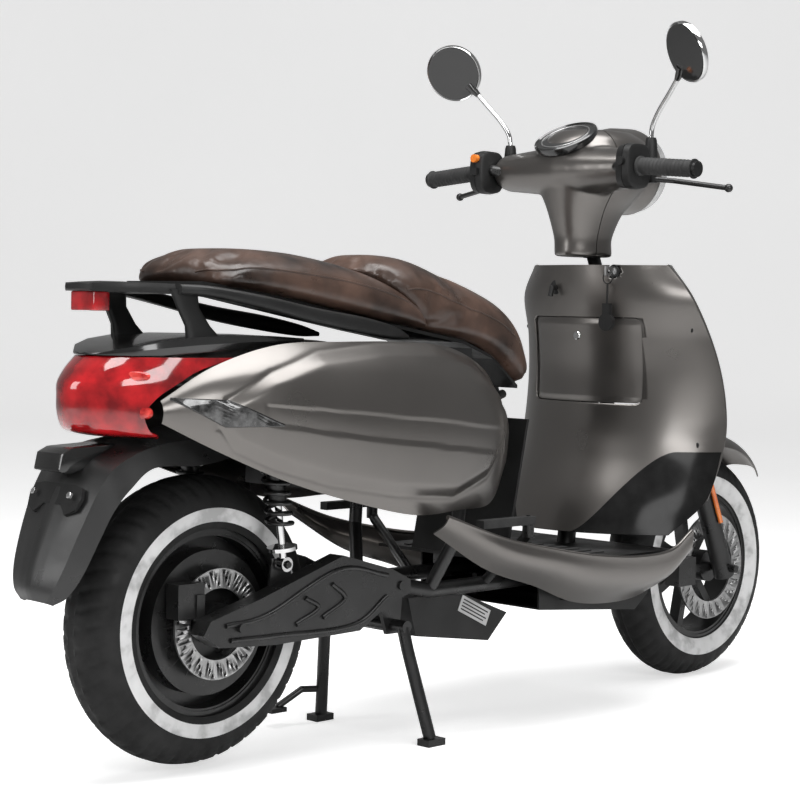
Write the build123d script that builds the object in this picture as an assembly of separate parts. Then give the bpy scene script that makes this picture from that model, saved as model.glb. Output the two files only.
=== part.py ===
"""Electric moped scooter. Millimetres, X forward, Y left, Z up.

Stations are written from the rear axle's foot point and shifted by ORIGIN_X when a node is written,
so that the packed origin lies under the middle of the scooter's overall box.
"""
import os
from math import cos, radians, sin, sqrt

from build123d import *

# ---- driving dimensions -------------------------------------------------------------------------
WHEELBASE = 1350.0
REAR_TYRE_R = 236.5
REAR_TYRE_HALF = 60.0
FRONT_TYRE_R = 234.0
FRONT_TYRE_HALF = 52.0
RIM_R = 152.0
REAR_LIFT = 9.5
RAKE = 25.0
TRAIL_OFFSET = 32.0
FORK_HALF = 95.0
REAR_TIP_X = -327.0
MIRROR_R = 58.0
GRIP_R = 16.5
BAR_R = 11.0
SKIN = 3.5

# ---- named clearances ---------------------------------------------------------------------------
RUN = 0.05
SEAT_GAP = 0.3
DOOR_GAP = 0.8

ORIGIN_X = (WHEELBASE + FRONT_TYRE_R + REAR_TIP_X) / 2
REAR_AXLE = (0.0, REAR_TYRE_R + REAR_LIFT)
FRONT_AXLE = (WHEELBASE, FRONT_TYRE_R)
STEER_DIR = Vector(-sin(radians(RAKE)), 0, cos(radians(RAKE)))
STEER_FWD = Vector(cos(radians(RAKE)), 0, sin(radians(RAKE)))
STEER_FOOT = Vector(FRONT_AXLE[0], 0, FRONT_AXLE[1]) - STEER_FWD * TRAIL_OFFSET
SIDES = (-1, 1)

os.makedirs("parts", exist_ok=True)


# ---- helpers ------------------------------------------------------------------------------------
def steer(u, v, s):
    """A point in the steering frame: u forward, v left, s up the steering axis."""
    return STEER_FOOT + STEER_FWD * u + Vector(0, v, 0) + STEER_DIR * s


def rod(start, end, radius, bore=0.0):
    """A cylinder, or a tube where bore is given, from one point to another."""
    a, b = Vector(*start), Vector(*end)
    run = b - a
    solid = Solid.make_cylinder(radius, run.length, Plane(origin=a, z_dir=run.normalized()))
    if bore:
        solid = solid - Solid.make_cylinder(bore, run.length, Plane(origin=a, z_dir=run.normalized()))
    return solid


def ball(centre, radius):
    return Pos(*centre) * Sphere(radius)


def bent(points, radius):
    """A tube path made of rods with a ball in each corner."""
    pieces = [rod(p, q, radius) for p, q in zip(points, points[1:])]
    pieces += [ball(p, radius) for p in points[1:-1]]
    return fuse(pieces)


def fuse(pieces):
    whole = pieces[0]
    for piece in pieces[1:]:
        whole = whole + piece
    return whole


def block(x0, x1, y0, y1, z0, z1):
    return Pos((x0 + x1) / 2, (y0 + y1) / 2, (z0 + z1) / 2) * Box(x1 - x0, y1 - y0, z1 - z0)


def side_plate(outline, y0, y1):
    """A side-view outline of (x, z) points, as thick as y0 to y1."""
    face = make_face(Polyline(*[(x, y0, z) for x, z in outline], close=True))
    return extrude(face, amount=y1 - y0, dir=(0, 1, 0))


def wheel_ring(centre, y0, y1, outer, inner):
    x, z = centre
    return rod((x, y0, z), (x, y1, z), outer, inner)


def strip(first, middle, last, shift):
    """The face between an arc through three points and the same arc moved by shift."""
    a, m, b = Vector(*first), Vector(*middle), Vector(*last)
    s = Vector(*shift)
    edges = [ThreePointArc(a, m, b), Line(b, b + s), ThreePointArc(b + s, m + s, a + s), Line(a + s, a)]
    return make_face(edges)


def skin(stations, shift):
    """A thin shell lofted through three-point stations."""
    return loft([strip(*station, shift) for station in stations], ruled=True)


def flip(shape):
    return mirror(shape, about=Plane.XZ)


def both(shape):
    """The right-hand shape and its left-hand mirror image."""
    return [shape, flip(shape)]


def save(name, *solids):
    flat = []
    for item in solids:
        flat += item if isinstance(item, list) else [item]
    parts = [s for item in flat for s in item.solids()]
    moved = [Pos(-ORIGIN_X, 0, 0) * s for s in parts]
    shape = moved[0] if len(moved) == 1 else Compound(children=moved)
    export_step(shape, f"parts/{name}.step")


# ---- frame --------------------------------------------------------------------------------------
HEAD_LOW, HEAD_HIGH = 462.0, 670.0
HEAD_R, HEAD_BORE = 27.0, 17.0
RAIL_Y, RAIL_Z, RAIL_R = 90.0, 262.0, 14.0
SEAT_RAIL_Y, SEAT_RAIL_Z, SEAT_RAIL_R = 135.0, 620.0, 12.0
PIVOT = (365.0, 283.0)
PIVOT_R, PIVOT_PIN = 20.0, 8.0
STAND_PIVOT = (400.0, 205.0)
STAND_SHAFT = 11.0
TAIL_X, TAIL_Y, TAIL_Z = -100.0, 62.0, 640.0
SHOCK_TOP = (70.0, 590.0)
SHOCK_FOOT = (108.0, 338.0)
SHOCK_Y = 108.0
SHOCK_PIN = 5.0
PEG_X, PEG_Y, PEG_Z = 612.0, 197.0, 387.0
PEG_PIN = 4.0
SEAT_HINGE = (700.0, 604.0)
SEAT_PIN = 4.0
# Side cover stations: x, then (half-width, height) of the top edge, the fullest line and the bottom edge.
COVER = [
    (-150, (105, 608), (112, 592), (108, 575)),
    (-60, (122, 660), (150, 605), (136, 530)),
    (60, (134, 694), (182, 598), (162, 480)),
    (200, (141, 700), (197, 580), (173, 440)),
    (340, (143, 700), (200, 570), (176, 411)),
    (460, (139, 690), (190, 560), (166, 412)),
    (560, (126, 652), (166, 548), (149, 418)),
    (625, (113, 590), (131, 545), (126, 485)),
]


def cover_skin(inset, shift):
    """The right-hand side cover's stations moved in by inset, thickened by shift."""
    return skin([((x, inset - t[0], t[1]), (x, inset - m[0], m[1]), (x, inset - b[0], b[1]))
                 for x, t, m, b in COVER], (0, shift, 0))


DECK_Z = 300.0


def make_frame():
    head = rod(steer(0, 0, HEAD_LOW), steer(0, 0, HEAD_HIGH), HEAD_R)
    down = bent([steer(0, 0, HEAD_LOW + 30), (1020, 0, 585), (990, 0, 480), (965, 0, 380), (950, 0,
                                                                                            RAIL_Z)], 18)
    pieces = [head, down, rod((950, -RAIL_Y, RAIL_Z), (950, RAIL_Y, RAIL_Z), RAIL_R)]
    for side in SIDES:
        y = side * RAIL_Y
        pieces.append(bent([(950, y, RAIL_Z), (470, y, RAIL_Z), (PIVOT[0], side * 72, PIVOT[1])], RAIL_R))
        pieces.append(bent([(470, y, RAIL_Z), (500, side * 128, 360), (520, side * SEAT_RAIL_Y,
                                                                       SEAT_RAIL_Z),
                            (150, side * SEAT_RAIL_Y, SEAT_RAIL_Z), (TAIL_X, side * TAIL_Y,
                                                                     TAIL_Z)], SEAT_RAIL_R))
        ear = side_plate([(352, 283), (385, 190), (415, 190), (421, 250), (440, RAIL_Z), (400, 290)],
                         min(side * 66, side * 74), max(side * 66, side * 74))
        pieces.append(ear)
        shock_arm = side_plate([(50, 622), (92, 622), (82, 578), (58, 578)],
                               min(side * 85, side * 92.5), max(side * 85, side * 92.5))
        pieces.append(block(52, 90, min(side * 88, side * 116), max(side * 88, side * 116), 608, 623))
        pieces += [shock_arm, rod((SHOCK_TOP[0], side * 90, SHOCK_TOP[1]),
                                  (SHOCK_TOP[0], side * 122, SHOCK_TOP[1]), SHOCK_PIN - RUN)]
        pieces.append(bent([(612, y, RAIL_Z), (612, side * 190, 355), (612, side * PEG_Y, 366)], 9))
        pieces.append(rod((612, side * PEG_Y, 366), (612, side * PEG_Y, PEG_Z + 9), PEG_PIN - RUN))
        pieces.append(rod((612, side * PEG_Y, 356.5), (612, side * PEG_Y, PEG_Z - 8), 10.5))
        for x in (680, 900):
            pieces.append(block(x, x + 40, y - 8, y + 8, RAIL_Z, DECK_Z - SEAT_GAP))
    for x in (200, 470):
        tab = rod((x, -SEAT_RAIL_Y, SEAT_RAIL_Z), (x, -215, SEAT_RAIL_Z), 6) - cover_skin(SKIN + SEAT_GAP,
                                                                                          -90)
        tab = max(tab.solids(), key=lambda solid: solid.bounding_box().max.Y)
        pieces += [tab, flip(tab)]
    hx, hz = SEAT_HINGE
    for side in SIDES:
        pieces.append(bent([(520, side * SEAT_RAIL_Y, SEAT_RAIL_Z), (556, side * 128, 611), (640,
                                                                                             side * 60, 588),
                            (hx, side * 52, hz)], 8))
    pieces.append(rod((hx, -52, hz), (hx, 52, hz), SEAT_PIN - RUN))
    pieces.append(rod((PIVOT[0], -80, PIVOT[1]), (PIVOT[0], 80, PIVOT[1]), PIVOT_R))
    pieces.append(rod((150, -SEAT_RAIL_Y, 625), (150, SEAT_RAIL_Y, 625), 10))
    pieces.append(rod((TAIL_X, -TAIL_Y, TAIL_Z), (TAIL_X, TAIL_Y, TAIL_Z), SEAT_RAIL_R - 0.5))
    frame = fuse(pieces)
    frame -= rod(steer(0, 0, HEAD_LOW - 5), steer(0, 0, HEAD_HIGH + 5), HEAD_BORE)
    frame -= rod((PIVOT[0], -90, PIVOT[1]), (PIVOT[0], 90, PIVOT[1]), PIVOT_PIN)
    frame -= rod((STAND_PIVOT[0], -90, STAND_PIVOT[1]), (STAND_PIVOT[0], 90, STAND_PIVOT[1]),
                 STAND_SHAFT + RUN)
    return frame


save("frame", make_frame())

# ---- power pack, controller and bucket -------------------------------------------------------------
CASE_HALF = 82.0
CASE_TOP = RAIL_Z - sqrt((RAIL_R + SEAT_GAP) ** 2 - (RAIL_Y - CASE_HALF) ** 2)
case_outline = [(428, CASE_TOP), (560, CASE_TOP), (690, 201), (640, 154), (449, 181)]
case_inner = [(440, 242), (556, 242), (672, 200), (634, 161), (456, 187)]
save("battery_case", side_plate(case_outline, -CASE_HALF, CASE_HALF)
     - side_plate(case_inner, -CASE_HALF + 5, CASE_HALF - 5))
save("battery_pack", block(462, 625, -CASE_HALF + 5 + SEAT_GAP, CASE_HALF - 5 - SEAT_GAP, 190, 214))
controller = fuse([block(60, 140, -60, 60, 585, 612)] + [block(62 + i * 12, 66 + i * 12, -60, 60, 575, 586)
                                                          for i in range(6)])
save("motor_controller", controller + block(125, 152, -30, 30, 606, 625 - 10 - SEAT_GAP))
BUCKET = (220.0, 540.0, 118.0, 450.0, 690.0)
BUCKET_WALL = 4.0
bx0, bx1, by, bz0, bz1 = BUCKET
bucket = block(bx0, bx1, -by, by, bz0, bz1)
bucket -= block(bx0 + BUCKET_WALL, bx1 - BUCKET_WALL, -by + BUCKET_WALL, by - BUCKET_WALL,
                bz0 + BUCKET_WALL, bz1 + 1)
rail_top = SEAT_RAIL_Z + SEAT_RAIL_R + SEAT_GAP
for side in SIDES:
    bucket += block(300, 480, min(side * (by - 1), side * 145), max(side * (by - 1), side * 145),
                    rail_top, rail_top + 4)
save("storage_bucket", bucket)

# ---- leg shield -------------------------------------------------------------------------------------
# Each level: height, rim x, rim half-width, centre x of the rider's face, centre x of the front face.
SHIELD = [
    (850, 1040, 165, 962, 1150),
    (788, 1061, 209, 967, 1178),
    (708, 1101, 226, 977, 1203),
    (628, 1123, 239, 984, 1216),
    (547, 1128, 247, 978, 1210),
    (482, 1118, 245, 955, 1185),
    (400, 1075, 245, 915, 1120),
    (335, 1000, 215, 887, 1040),
]
INNER = [((x, -w, z), (c, 0, z), (x, w, z)) for z, x, w, c, _ in SHIELD]
OUTER = [((x + SKIN + SEAT_GAP, -w, z), (f, 0, z), (x + SKIN + SEAT_GAP, w, z)) for z, x, w, _,
         f in SHIELD[:-1]]
DOOR_HALF, DOOR_LOW, DOOR_HIGH = 134.0, 581.0, 749.0
TRAY = (1043.0, DOOR_HALF + 4, 641.0, DOOR_HIGH + 4)

panel = skin(INNER, (SKIN, 0, 0))
behind = loft([strip((x - 160, -w, z), (c - 160, 0, z), (x - 160, w, z), (160 + SKIN - 1, 0, 0))
               for z, x, w, c, _ in SHIELD[:5]], ruled=True)
ahead = loft([strip((x - SEAT_GAP, -w, z), (c - SEAT_GAP, 0, z), (x - SEAT_GAP, w, z), (160, 0, 0))
              for z, x, w, c, _ in SHIELD[:5]], ruled=True)
behind_door = Pos(3, 0, 0) * behind
opening = block(900, 1090, -DOOR_HALF, DOOR_HALF, DOOR_LOW, DOOR_HIGH)
leaf = block(900, 1090, -DOOR_HALF + DOOR_GAP, DOOR_HALF - DOOR_GAP, DOOR_LOW + DOOR_GAP,
             DOOR_HIGH - DOOR_GAP)
tray = block(960, TRAY[0], -TRAY[1], TRAY[1], TRAY[2], TRAY[3])
tray -= block(940, TRAY[0] - 3, -TRAY[1] + 3, TRAY[1] - 3, TRAY[2] + 3, TRAY[3] - 3)
tray -= behind
tray -= behind_door & opening
LOCK_X, LOCK_Y, LOCK_Z = 1004.0, -85.0, 838.0
LOCK_R = 13.0
panel = panel - opening
panel -= rod((LOCK_X - 60, LOCK_Y, LOCK_Z), (LOCK_X + 60, LOCK_Y, LOCK_Z), LOCK_R + SEAT_GAP)
save("inner_legshield", panel, tray)
door = skin(INNER, (SKIN, 0, 0)) & leaf
door_lock = rod((968, 0, 712), (981, 0, 712), 8)
save("glovebox_door", door - rod((960, 0, 712), (990, 0, 712), 8 + SEAT_GAP), door_lock)

# The fork yoke swings inside the apron, so the cut reaches past the yoke's top.
APRON_CUT_HIGH = 470.0
apron = skin(OUTER, (SKIN, 0, 0))
apron -= rod(steer(0, 0, 130), steer(0, 0, APRON_CUT_HIGH), 152)
apron -= rod(steer(0, 0, -50), steer(0, 0, 195), 222)
save("front_apron", apron)

lock = rod((LOCK_X - 26, LOCK_Y, LOCK_Z), (LOCK_X + 24, LOCK_Y, LOCK_Z), LOCK_R, 7)
save("ignition_lock", lock + rod((LOCK_X + 10, LOCK_Y, LOCK_Z), (LOCK_X + 24, LOCK_Y, LOCK_Z), 8))
KEY_X = LOCK_X - 26
key = rod((KEY_X, LOCK_Y, LOCK_Z), (LOCK_X + 9, LOCK_Y, LOCK_Z), 7 - RUN)
key += block(KEY_X - 26, KEY_X, LOCK_Y - 2, LOCK_Y + 2, LOCK_Z - 9, LOCK_Z + 9)
save("ignition_key", key - rod((KEY_X - 18, LOCK_Y - 5, LOCK_Z), (KEY_X - 18, LOCK_Y + 5, LOCK_Z), 4))
FOB_X = KEY_X - 18
FOB_DROP = 4 - 1.2 - SEAT_GAP
ring = Pos(FOB_X, LOCK_Y, LOCK_Z - 11 - FOB_DROP) * Rot(0, 90, 0) * Torus(11, 1.2)
chain = rod((FOB_X, LOCK_Y, LOCK_Z - 22), (FOB_X, LOCK_Y, LOCK_Z - 64), 2)
fob = rod((FOB_X - 4, LOCK_Y, LOCK_Z - 96), (FOB_X + 4, LOCK_Y, LOCK_Z - 96), 17)
fob += side_plate([(FOB_X - 4, LOCK_Z - 90), (FOB_X + 4, LOCK_Z - 90), (FOB_X + 4, LOCK_Z - 60),
                   (FOB_X - 4, LOCK_Z - 60)], LOCK_Y - 9, LOCK_Y + 9)
save("key_fob", ring + Pos(0, 0, -FOB_DROP) * (chain + fob))
hook = rod((955, 50, 806), (985, 50, 806), 5) + rod((955, 50, 806), (950, 50, 788), 5) + ball((955, 50,
                                                                                               806), 5)
hook += rod((966, 50, 806), (985, 50, 806), 14)
save("bag_hook", hook - ahead)

# ---- floor, skirts and belly -------------------------------------------------------------------------
deck = block(640, 1030, -205, 205, DECK_Z, DECK_Z + 6)
riser = side_plate([(640, DECK_Z), (646, DECK_Z), (700, 560), (694, 560)], -118, 118)
deck = deck + riser - rod(steer(0, 0, -50), steer(0, 0, 195), 222)
deck -= rod((950, 0, RAIL_Z), (965, 0, 380), 18 + 1)
save("footboard", deck)
SKIRT = [
    (385, 215, 408, 204, 393, 180, 378),
    (520, 226, 362, 224, 334, 182, 306),
    (650, 236, 334, 232, 300, 182, 266),
    (760, 241, 316, 234, 272, 178, 228),
    (880, 243, 306, 233, 258, 172, 215),
    (975, 245, 312, 235, 266, 172, 224),
    (1035, 247, 345, 238, 304, 176, 262),
]
skirt = skin([((x, -ty, tz), (x, -my, mz), (x, -by_, bz)) for x, ty, tz, my, mz, by_, bz in SKIRT], (0,
                                                                                                     SKIN, 0))
save("side_skirts", both(skirt))
BELLY_HALF = 150.0
belly = side_plate([(700, 290), (702, 212), (919, 193), (986, 187), (1025, 215), (1040, 290)],
                   -BELLY_HALF, BELLY_HALF)
belly -= side_plate([(690, 295), (690, 216), (919, 197), (984, 191), (1020, 217), (1035, 295)],
                    -BELLY_HALF + 4, BELLY_HALF - 4)
BELLY_LIP = 173.1
for side in SIDES:
    lip = sorted((side * (BELLY_HALF - 1), side * BELLY_LIP))
    belly += block(760, 960, lip[0], lip[1], 226, 230)
    belly += block(790, 810, side * RAIL_Y - 6, side * RAIL_Y + 6, 205, RAIL_Z - RAIL_R - SEAT_GAP)
save("belly_pan", belly)

# ---- rear body ---------------------------------------------------------------------------------------
cover = cover_skin(0, SKIN)
SIGNAL = [(-138, 612), (-55, 609), (38, 570), (-58, 570)]
SIGNAL_CUT = [(-143, 614), (-54, 611), (45, 567), (-60, 567)]
cover -= side_plate(SIGNAL_CUT, -210, -90)
save("side_covers", both(cover))
signal = side_plate(SIGNAL, -190, -108)
slope = Plane(origin=(-138, -118, 590), x_dir=(176, -54, 0), z_dir=(-54, -176, 0))
signal = signal & (slope * Pos(90, 0, -11) * Box(420, 260, 22))
save("turn_signals", both(signal))

TAIL_TOP = 677.0
lens_outline = [(-252, 590), (-205, 642), (-150, TAIL_TOP), (-12, TAIL_TOP), (-60, 667), (-105, 645),
                (-152, 617), (-164, 592), (-150, 566), (-135, 549), (-212, 555)]
tail_plan = Pos(-25, 0, 540) * extrude(Ellipse(225, 119), 200)
tail_core = Pos(-25, 0, 530) * extrude(Ellipse(195, 98), 220)
lens = side_plate(lens_outline, -120, 120) & (tail_plan - tail_core)
save("tail_light", lens)
tail = side_plate([(-155, TAIL_TOP + SEAT_GAP), (-100, 706), (140, 706), (140, 702), (-96, 702), (-60,
                                                                                                  TAIL_TOP + SEAT_GAP)],
                  -118, 118)
tail += block(-110, -90, -50, 50, TAIL_Z + SEAT_RAIL_R - 0.5 + SEAT_GAP, 704)
save("tail_cover", tail)

RAIL_TOP = 790.0
rack = block(-230, -74, -88, 88, RAIL_TOP - 14, RAIL_TOP)
arm = side_plate([(-120, RAIL_TOP - 2), (10, RAIL_TOP - 18), (180, 742), (375, 716), (375, 706), (180, 716),
                  (10, 752), (-120, 762)], -132, -100)
leg = side_plate([(-120, 766), (-60, 760), (-70, 706.3), (-110, 706.3)], -110, -84)
rack = fuse([rack, block(-150, -74, -132, 132, RAIL_TOP - 14, RAIL_TOP - 2)] + both(arm) + both(leg))
save("grab_rail", rack, block(-222, -190, -31, 31, RAIL_TOP - 46, RAIL_TOP - 14))

FENDER = [
    ((20, 88, 515), (40, 562)),
    ((-60, 92, 500), (-60, 562)),
    ((-150, 95, 500), (-150, 548)),
    ((-215, 94, 462), (-240, 520)),
    ((-252, 84, 398), (-292, 430)),
    ((-282, 66, 330), (REAR_TIP_X + 4, 345)),
    ((-298, 42, 302), (-312, 297)),
]


def fender_station(edge, crown):
    """One station of the mudguard, thickened from its crown towards its edges."""
    inward = Vector(edge[0] - crown[0], 0, edge[2] - crown[1]).normalized() * SKIN
    return strip((edge[0], -edge[1], edge[2]), (crown[0], 0, crown[1]), edge, tuple(inward))


fender = loft([fender_station(edge, crown) for edge, crown in FENDER], ruled=True)
fender += block(-120, -80, -20, 20, 553, TAIL_Z - SEAT_RAIL_R + 0.5 - SEAT_GAP)
save("rear_fender", fender, block(-268, -190, -34, 34, 523, 533))

# ---- steering stem, bar and head ----------------------------------------------------------------------
YOKE_LOW, YOKE_HIGH = 425.0, HEAD_LOW - SEAT_GAP
STEERER_TOP = 740.0
TUBE_R, SLIDER_R = 15.0, 21.0
SLIDER_TOP = 275.0


def make_stem():
    yoke = rod(steer(TRAIL_OFFSET, -FORK_HALF, YOKE_LOW), steer(TRAIL_OFFSET, -FORK_HALF, YOKE_HIGH), 24)
    yoke += rod(steer(TRAIL_OFFSET, FORK_HALF, YOKE_LOW), steer(TRAIL_OFFSET, FORK_HALF, YOKE_HIGH), 24)
    yoke += rod(steer(0, 0, YOKE_LOW), steer(0, 0, YOKE_HIGH), 30)
    for side in SIDES:
        yoke += rod(steer(4, 0, 444), steer(TRAIL_OFFSET, side * FORK_HALF, 444), 17)
    stem = yoke + rod(steer(0, 0, YOKE_LOW), steer(0, 0, STEERER_TOP), HEAD_BORE - 4)
    for side in SIDES:
        stem += rod(steer(TRAIL_OFFSET, side * FORK_HALF, 120), steer(TRAIL_OFFSET, side * FORK_HALF,
                                                                      YOKE_HIGH),
                    TUBE_R)
    return stem


save("steering_stem", make_stem())
GRIP_IN = Vector(900, 203, 1032)
GRIP_OUT = Vector(900, 328, 1022)
GRIP_AXIS = (GRIP_OUT - GRIP_IN).normalized()
BAR_MID = steer(0, 0, STEERER_TOP + 60)
bar_points = [tuple(BAR_MID), (940, 60, 1012), (918, 110, 1026), tuple(GRIP_IN - GRIP_AXIS * 42),
              tuple(GRIP_OUT - GRIP_AXIS * 4)]
half_bar = bent(bar_points, BAR_R)
bar = half_bar + flip(half_bar) + ball(tuple(BAR_MID), BAR_R)
bar += rod(steer(0, 0, STEERER_TOP - 20), tuple(BAR_MID), 21)
bar -= rod(steer(0, 0, STEERER_TOP - 21), steer(0, 0, STEERER_TOP + SEAT_GAP), HEAD_BORE - 4 + SEAT_GAP)


def flipped(point):
    return (point.X, -point.Y, point.Z)


left_grip = rod(GRIP_IN, GRIP_OUT, GRIP_R, BAR_R + RUN)
save("left_grip", left_grip)
save("throttle_grip", rod(flipped(GRIP_IN), flipped(GRIP_OUT), GRIP_R, BAR_R + RUN))
cap = rod(GRIP_OUT + GRIP_AXIS * SEAT_GAP, GRIP_OUT + GRIP_AXIS * 8, GRIP_R - 2)
save("handlebar", bar, cap, flip(cap))

HEAD_STATIONS = [
    # height, centre x, half-length, half-width
    (856, 990, 70, 50),
    (905, 985, 62, 47),
    (955, 990, 84, 62),
    (1000, 1010, 118, 92),
    (1050, 1018, 140, 104),
    (1095, 1020, 112, 88),
    (1122, 1012, 62, 55),
]


def head_body(grow):
    faces = [Pos(cx, 0, z) * make_face(Ellipse(a + grow, b + grow).edges()) for z, cx, a,
             b in HEAD_STATIONS]
    return loft(faces, ruled=True)


def arms(grow, reach):
    plane = Plane(origin=(945, -reach, 1030), x_dir=(1, 0, 0), z_dir=(0, 1, 0))
    return extrude(plane * Ellipse(62 + grow, 44 + grow), 2 * reach)


ARM_REACH = 163.0
shell = (head_body(0) + arms(0, ARM_REACH)) - (head_body(-SKIN) + arms(-SKIN, ARM_REACH - 3))
for grip_start in (GRIP_IN, Vector(*flipped(GRIP_IN))):
    shell -= rod((grip_start.X, grip_start.Y * 0.7, grip_start.Z + 4), grip_start, BAR_R + 3 * SEAT_GAP)
shell -= Pos(*steer(0, 0, 640)) * Sphere(26)
DISPLAY_R = 65.0
DISPLAY_AT = Vector(935, 0, 1075)
display_dir = Vector(-0.52, 0, 0.854)
shell -= rod(DISPLAY_AT - display_dir * 30, DISPLAY_AT + display_dir * 60, DISPLAY_R + SEAT_GAP)
HEADLIGHT = (1060.0, 1040.0, 78.0)
shell -= rod((HEADLIGHT[0], 0, HEADLIGHT[1]), (1300, 0, HEADLIGHT[1]), HEADLIGHT[2] + SEAT_GAP)
SPLIT_X = 972.0
# The neck ends above the leg shield, with room for the bars to turn.
NECK_LOW = 862.5
shell -= block(700, 1300, -300, 300, 800, NECK_LOW)
save("handlebar_rear_cover", shell - block(SPLIT_X, 1300, -300, 300, 800, 1200))
save("handlebar_front_cover", shell - block(700, SPLIT_X + SEAT_GAP, -300, 300, 800, 1200))
headlight = rod((HEADLIGHT[0] + 20, 0, HEADLIGHT[1]), (HEADLIGHT[0] + 90, 0, HEADLIGHT[1]), HEADLIGHT[2])
headlight += (Pos(HEADLIGHT[0] + 90, 0, HEADLIGHT[1]) * Rot(0, 90, 0) * Cone(HEADLIGHT[2], 50, 26,
                                                                             align=(Align.CENTER,
                                                                                    Align.CENTER, Align.MIN)))
save("headlight", headlight)
save("instrument_display", rod(DISPLAY_AT - display_dir * 14, DISPLAY_AT + display_dir * 8, DISPLAY_R))


def housing(side):
    """A switch housing clamped round the bar between the head's arm and the grip."""
    body = block(868, 944, 166, 201, 988, 1074)
    body += rod((966, 177, 1060), (966, 177, 1090), 12)
    body += block(940, 968, 168, 200, 1000, 1072)
    body -= rod(GRIP_IN - GRIP_AXIS * 60, GRIP_IN + GRIP_AXIS * 20, BAR_R + RUN)
    body -= block(934, 975, 184, 240, 1001, 1019)
    return body if side > 0 else flip(body)


LEVER_PIVOT = (948.0, 196.0, 1010.0)
LEVER_PIN = 3.0
HORN = (868.0, 183.0, 1058.0)
TURN = (868.0, 183.0, 1032.0)
START = (868.0, -183.0, 1040.0)
left = housing(1) - rod((866, HORN[1], HORN[2]), (876, HORN[1], HORN[2]), 8.3)
left -= block(866, 874, TURN[1] - 12.3, TURN[1] + 12.3, TURN[2] - 7.3, TURN[2] + 7.3)
left += rod((948, 196, 996), (948, 196, 1024), LEVER_PIN - RUN)
right = housing(-1) - rod((866, START[1], START[2]), (876, START[1], START[2]), 8.3)
right += rod((948, -196, 996), (948, -196, 1024), LEVER_PIN - RUN)
save("switch_housings", left, right)
save("horn_button", rod((862, HORN[1], HORN[2]), (872, HORN[1], HORN[2]), 8))
save("turn_switch", block(862, 873.7, TURN[1] - 8, TURN[1] + 8, TURN[2] - 7, TURN[2] + 7))
save("start_button", rod((862, START[1], START[2]), (872, START[1], START[2]), 8))


def lever():
    body = rod((948, 196, 1003), (948, 196, 1017), 9)
    body += bent([(948, 200, 1010), (968, 232, 1007), (993, 338, 992)], 5)
    body += ball((993, 338, 992), 8)
    return body - rod((948, 196, 990), (948, 196, 1030), LEVER_PIN)


save("brake_lever_left", lever())
save("brake_lever_right", flip(lever()))

BOOT_TOP = Vector(966, 177, 1096)
STEM_BEND = Vector(957, 212, 1155)
STEM_TOP = Vector(946, 249, 1193)
HEAD_MID = Vector(919, 292, 1239)
MIRROR_DIR = Vector(-0.86, -0.34, -0.38).normalized()
stem = bent([tuple(BOOT_TOP + Vector(0, 0, -5.7)), tuple(STEM_BEND), tuple(STEM_TOP)], 5)
stem += ball(tuple(STEM_TOP), 9)
stem += rod((966, 177, 1090 + SEAT_GAP), (966, 177, 1112), 9)
stem -= block(900, 1000, 100, 300, 1000, 1090 + SEAT_GAP)
save("mirror_stem_left", stem)
save("mirror_stem_right", flip(stem))
mirror_back = HEAD_MID - MIRROR_DIR * 16
mirror_head = rod(mirror_back, HEAD_MID, MIRROR_R)
mirror_head += rod(HEAD_MID - MIRROR_DIR * 24, mirror_back, 30)
arm_start = STEM_TOP + (HEAD_MID - MIRROR_DIR * 20 - STEM_TOP).normalized() * 8.8
mirror_head += rod(arm_start, HEAD_MID - MIRROR_DIR * 20, 6)
mirror_head -= ball(tuple(STEM_TOP), 9 + SEAT_GAP)
save("mirror_head_left", mirror_head)
save("mirror_head_right", flip(mirror_head))

# ---- fork and front wheel -----------------------------------------------------------------------------
sliders = []
for side in SIDES:
    v = side * FORK_HALF
    leg = rod(steer(TRAIL_OFFSET, v, -18), steer(TRAIL_OFFSET, v, SLIDER_TOP), SLIDER_R)
    leg -= rod(steer(TRAIL_OFFSET, v, 48), steer(TRAIL_OFFSET, v, SLIDER_TOP + 1), TUBE_R + RUN)
    sliders.append(leg)
axle = rod((FRONT_AXLE[0], -130, FRONT_AXLE[1]), (FRONT_AXLE[0], 130, FRONT_AXLE[1]), 8 - RUN)
save("fork_sliders", fuse([sliders[0], sliders[1], axle]))
REFLECTOR_V = -(FORK_HALF + SLIDER_R + 5 + SEAT_GAP)
reflector = rod(steer(TRAIL_OFFSET, REFLECTOR_V, 110), steer(TRAIL_OFFSET, REFLECTOR_V, 195), 5)
save("fork_reflectors", both(reflector))

FENDER_MID = (1356.0, 246.0)
FENDER_R = 266.0
GUARD_HALF = FORK_HALF - SLIDER_R - SEAT_GAP
fender_ring = wheel_ring(FENDER_MID, -GUARD_HALF, GUARD_HALF, FENDER_R, FENDER_R - 4)
fender_ring += wheel_ring(FENDER_MID, -GUARD_HALF, -GUARD_HALF + 4, FENDER_R, FENDER_R - 45)
fender_ring += wheel_ring(FENDER_MID, GUARD_HALF - 4, GUARD_HALF, FENDER_R, FENDER_R - 45)
wedge = side_plate([FENDER_MID, (FENDER_MID[0] + 330, FENDER_MID[1] + 352), (FENDER_MID[0],
                                                                             FENDER_MID[1] + 500),
                    (FENDER_MID[0] - 420, FENDER_MID[1] + 330)], -100, 100)
save("front_fender", (fender_ring & wedge))
DISC_Y = 66.0
front_disc = wheel_ring(FRONT_AXLE, -DISC_Y, -DISC_Y + 4, 110, 30)
save("front_disc", front_disc)
rim = wheel_ring(FRONT_AXLE, -40, 40, RIM_R, RIM_R - 12)
rim += wheel_ring(FRONT_AXLE, -42, -36, RIM_R + 6, RIM_R - 6) + wheel_ring(FRONT_AXLE, 36, 42, RIM_R + 6,
                                                                           RIM_R - 6)
rim += wheel_ring(FRONT_AXLE, -DISC_Y + 4.3, 60, 32, 0)
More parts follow.
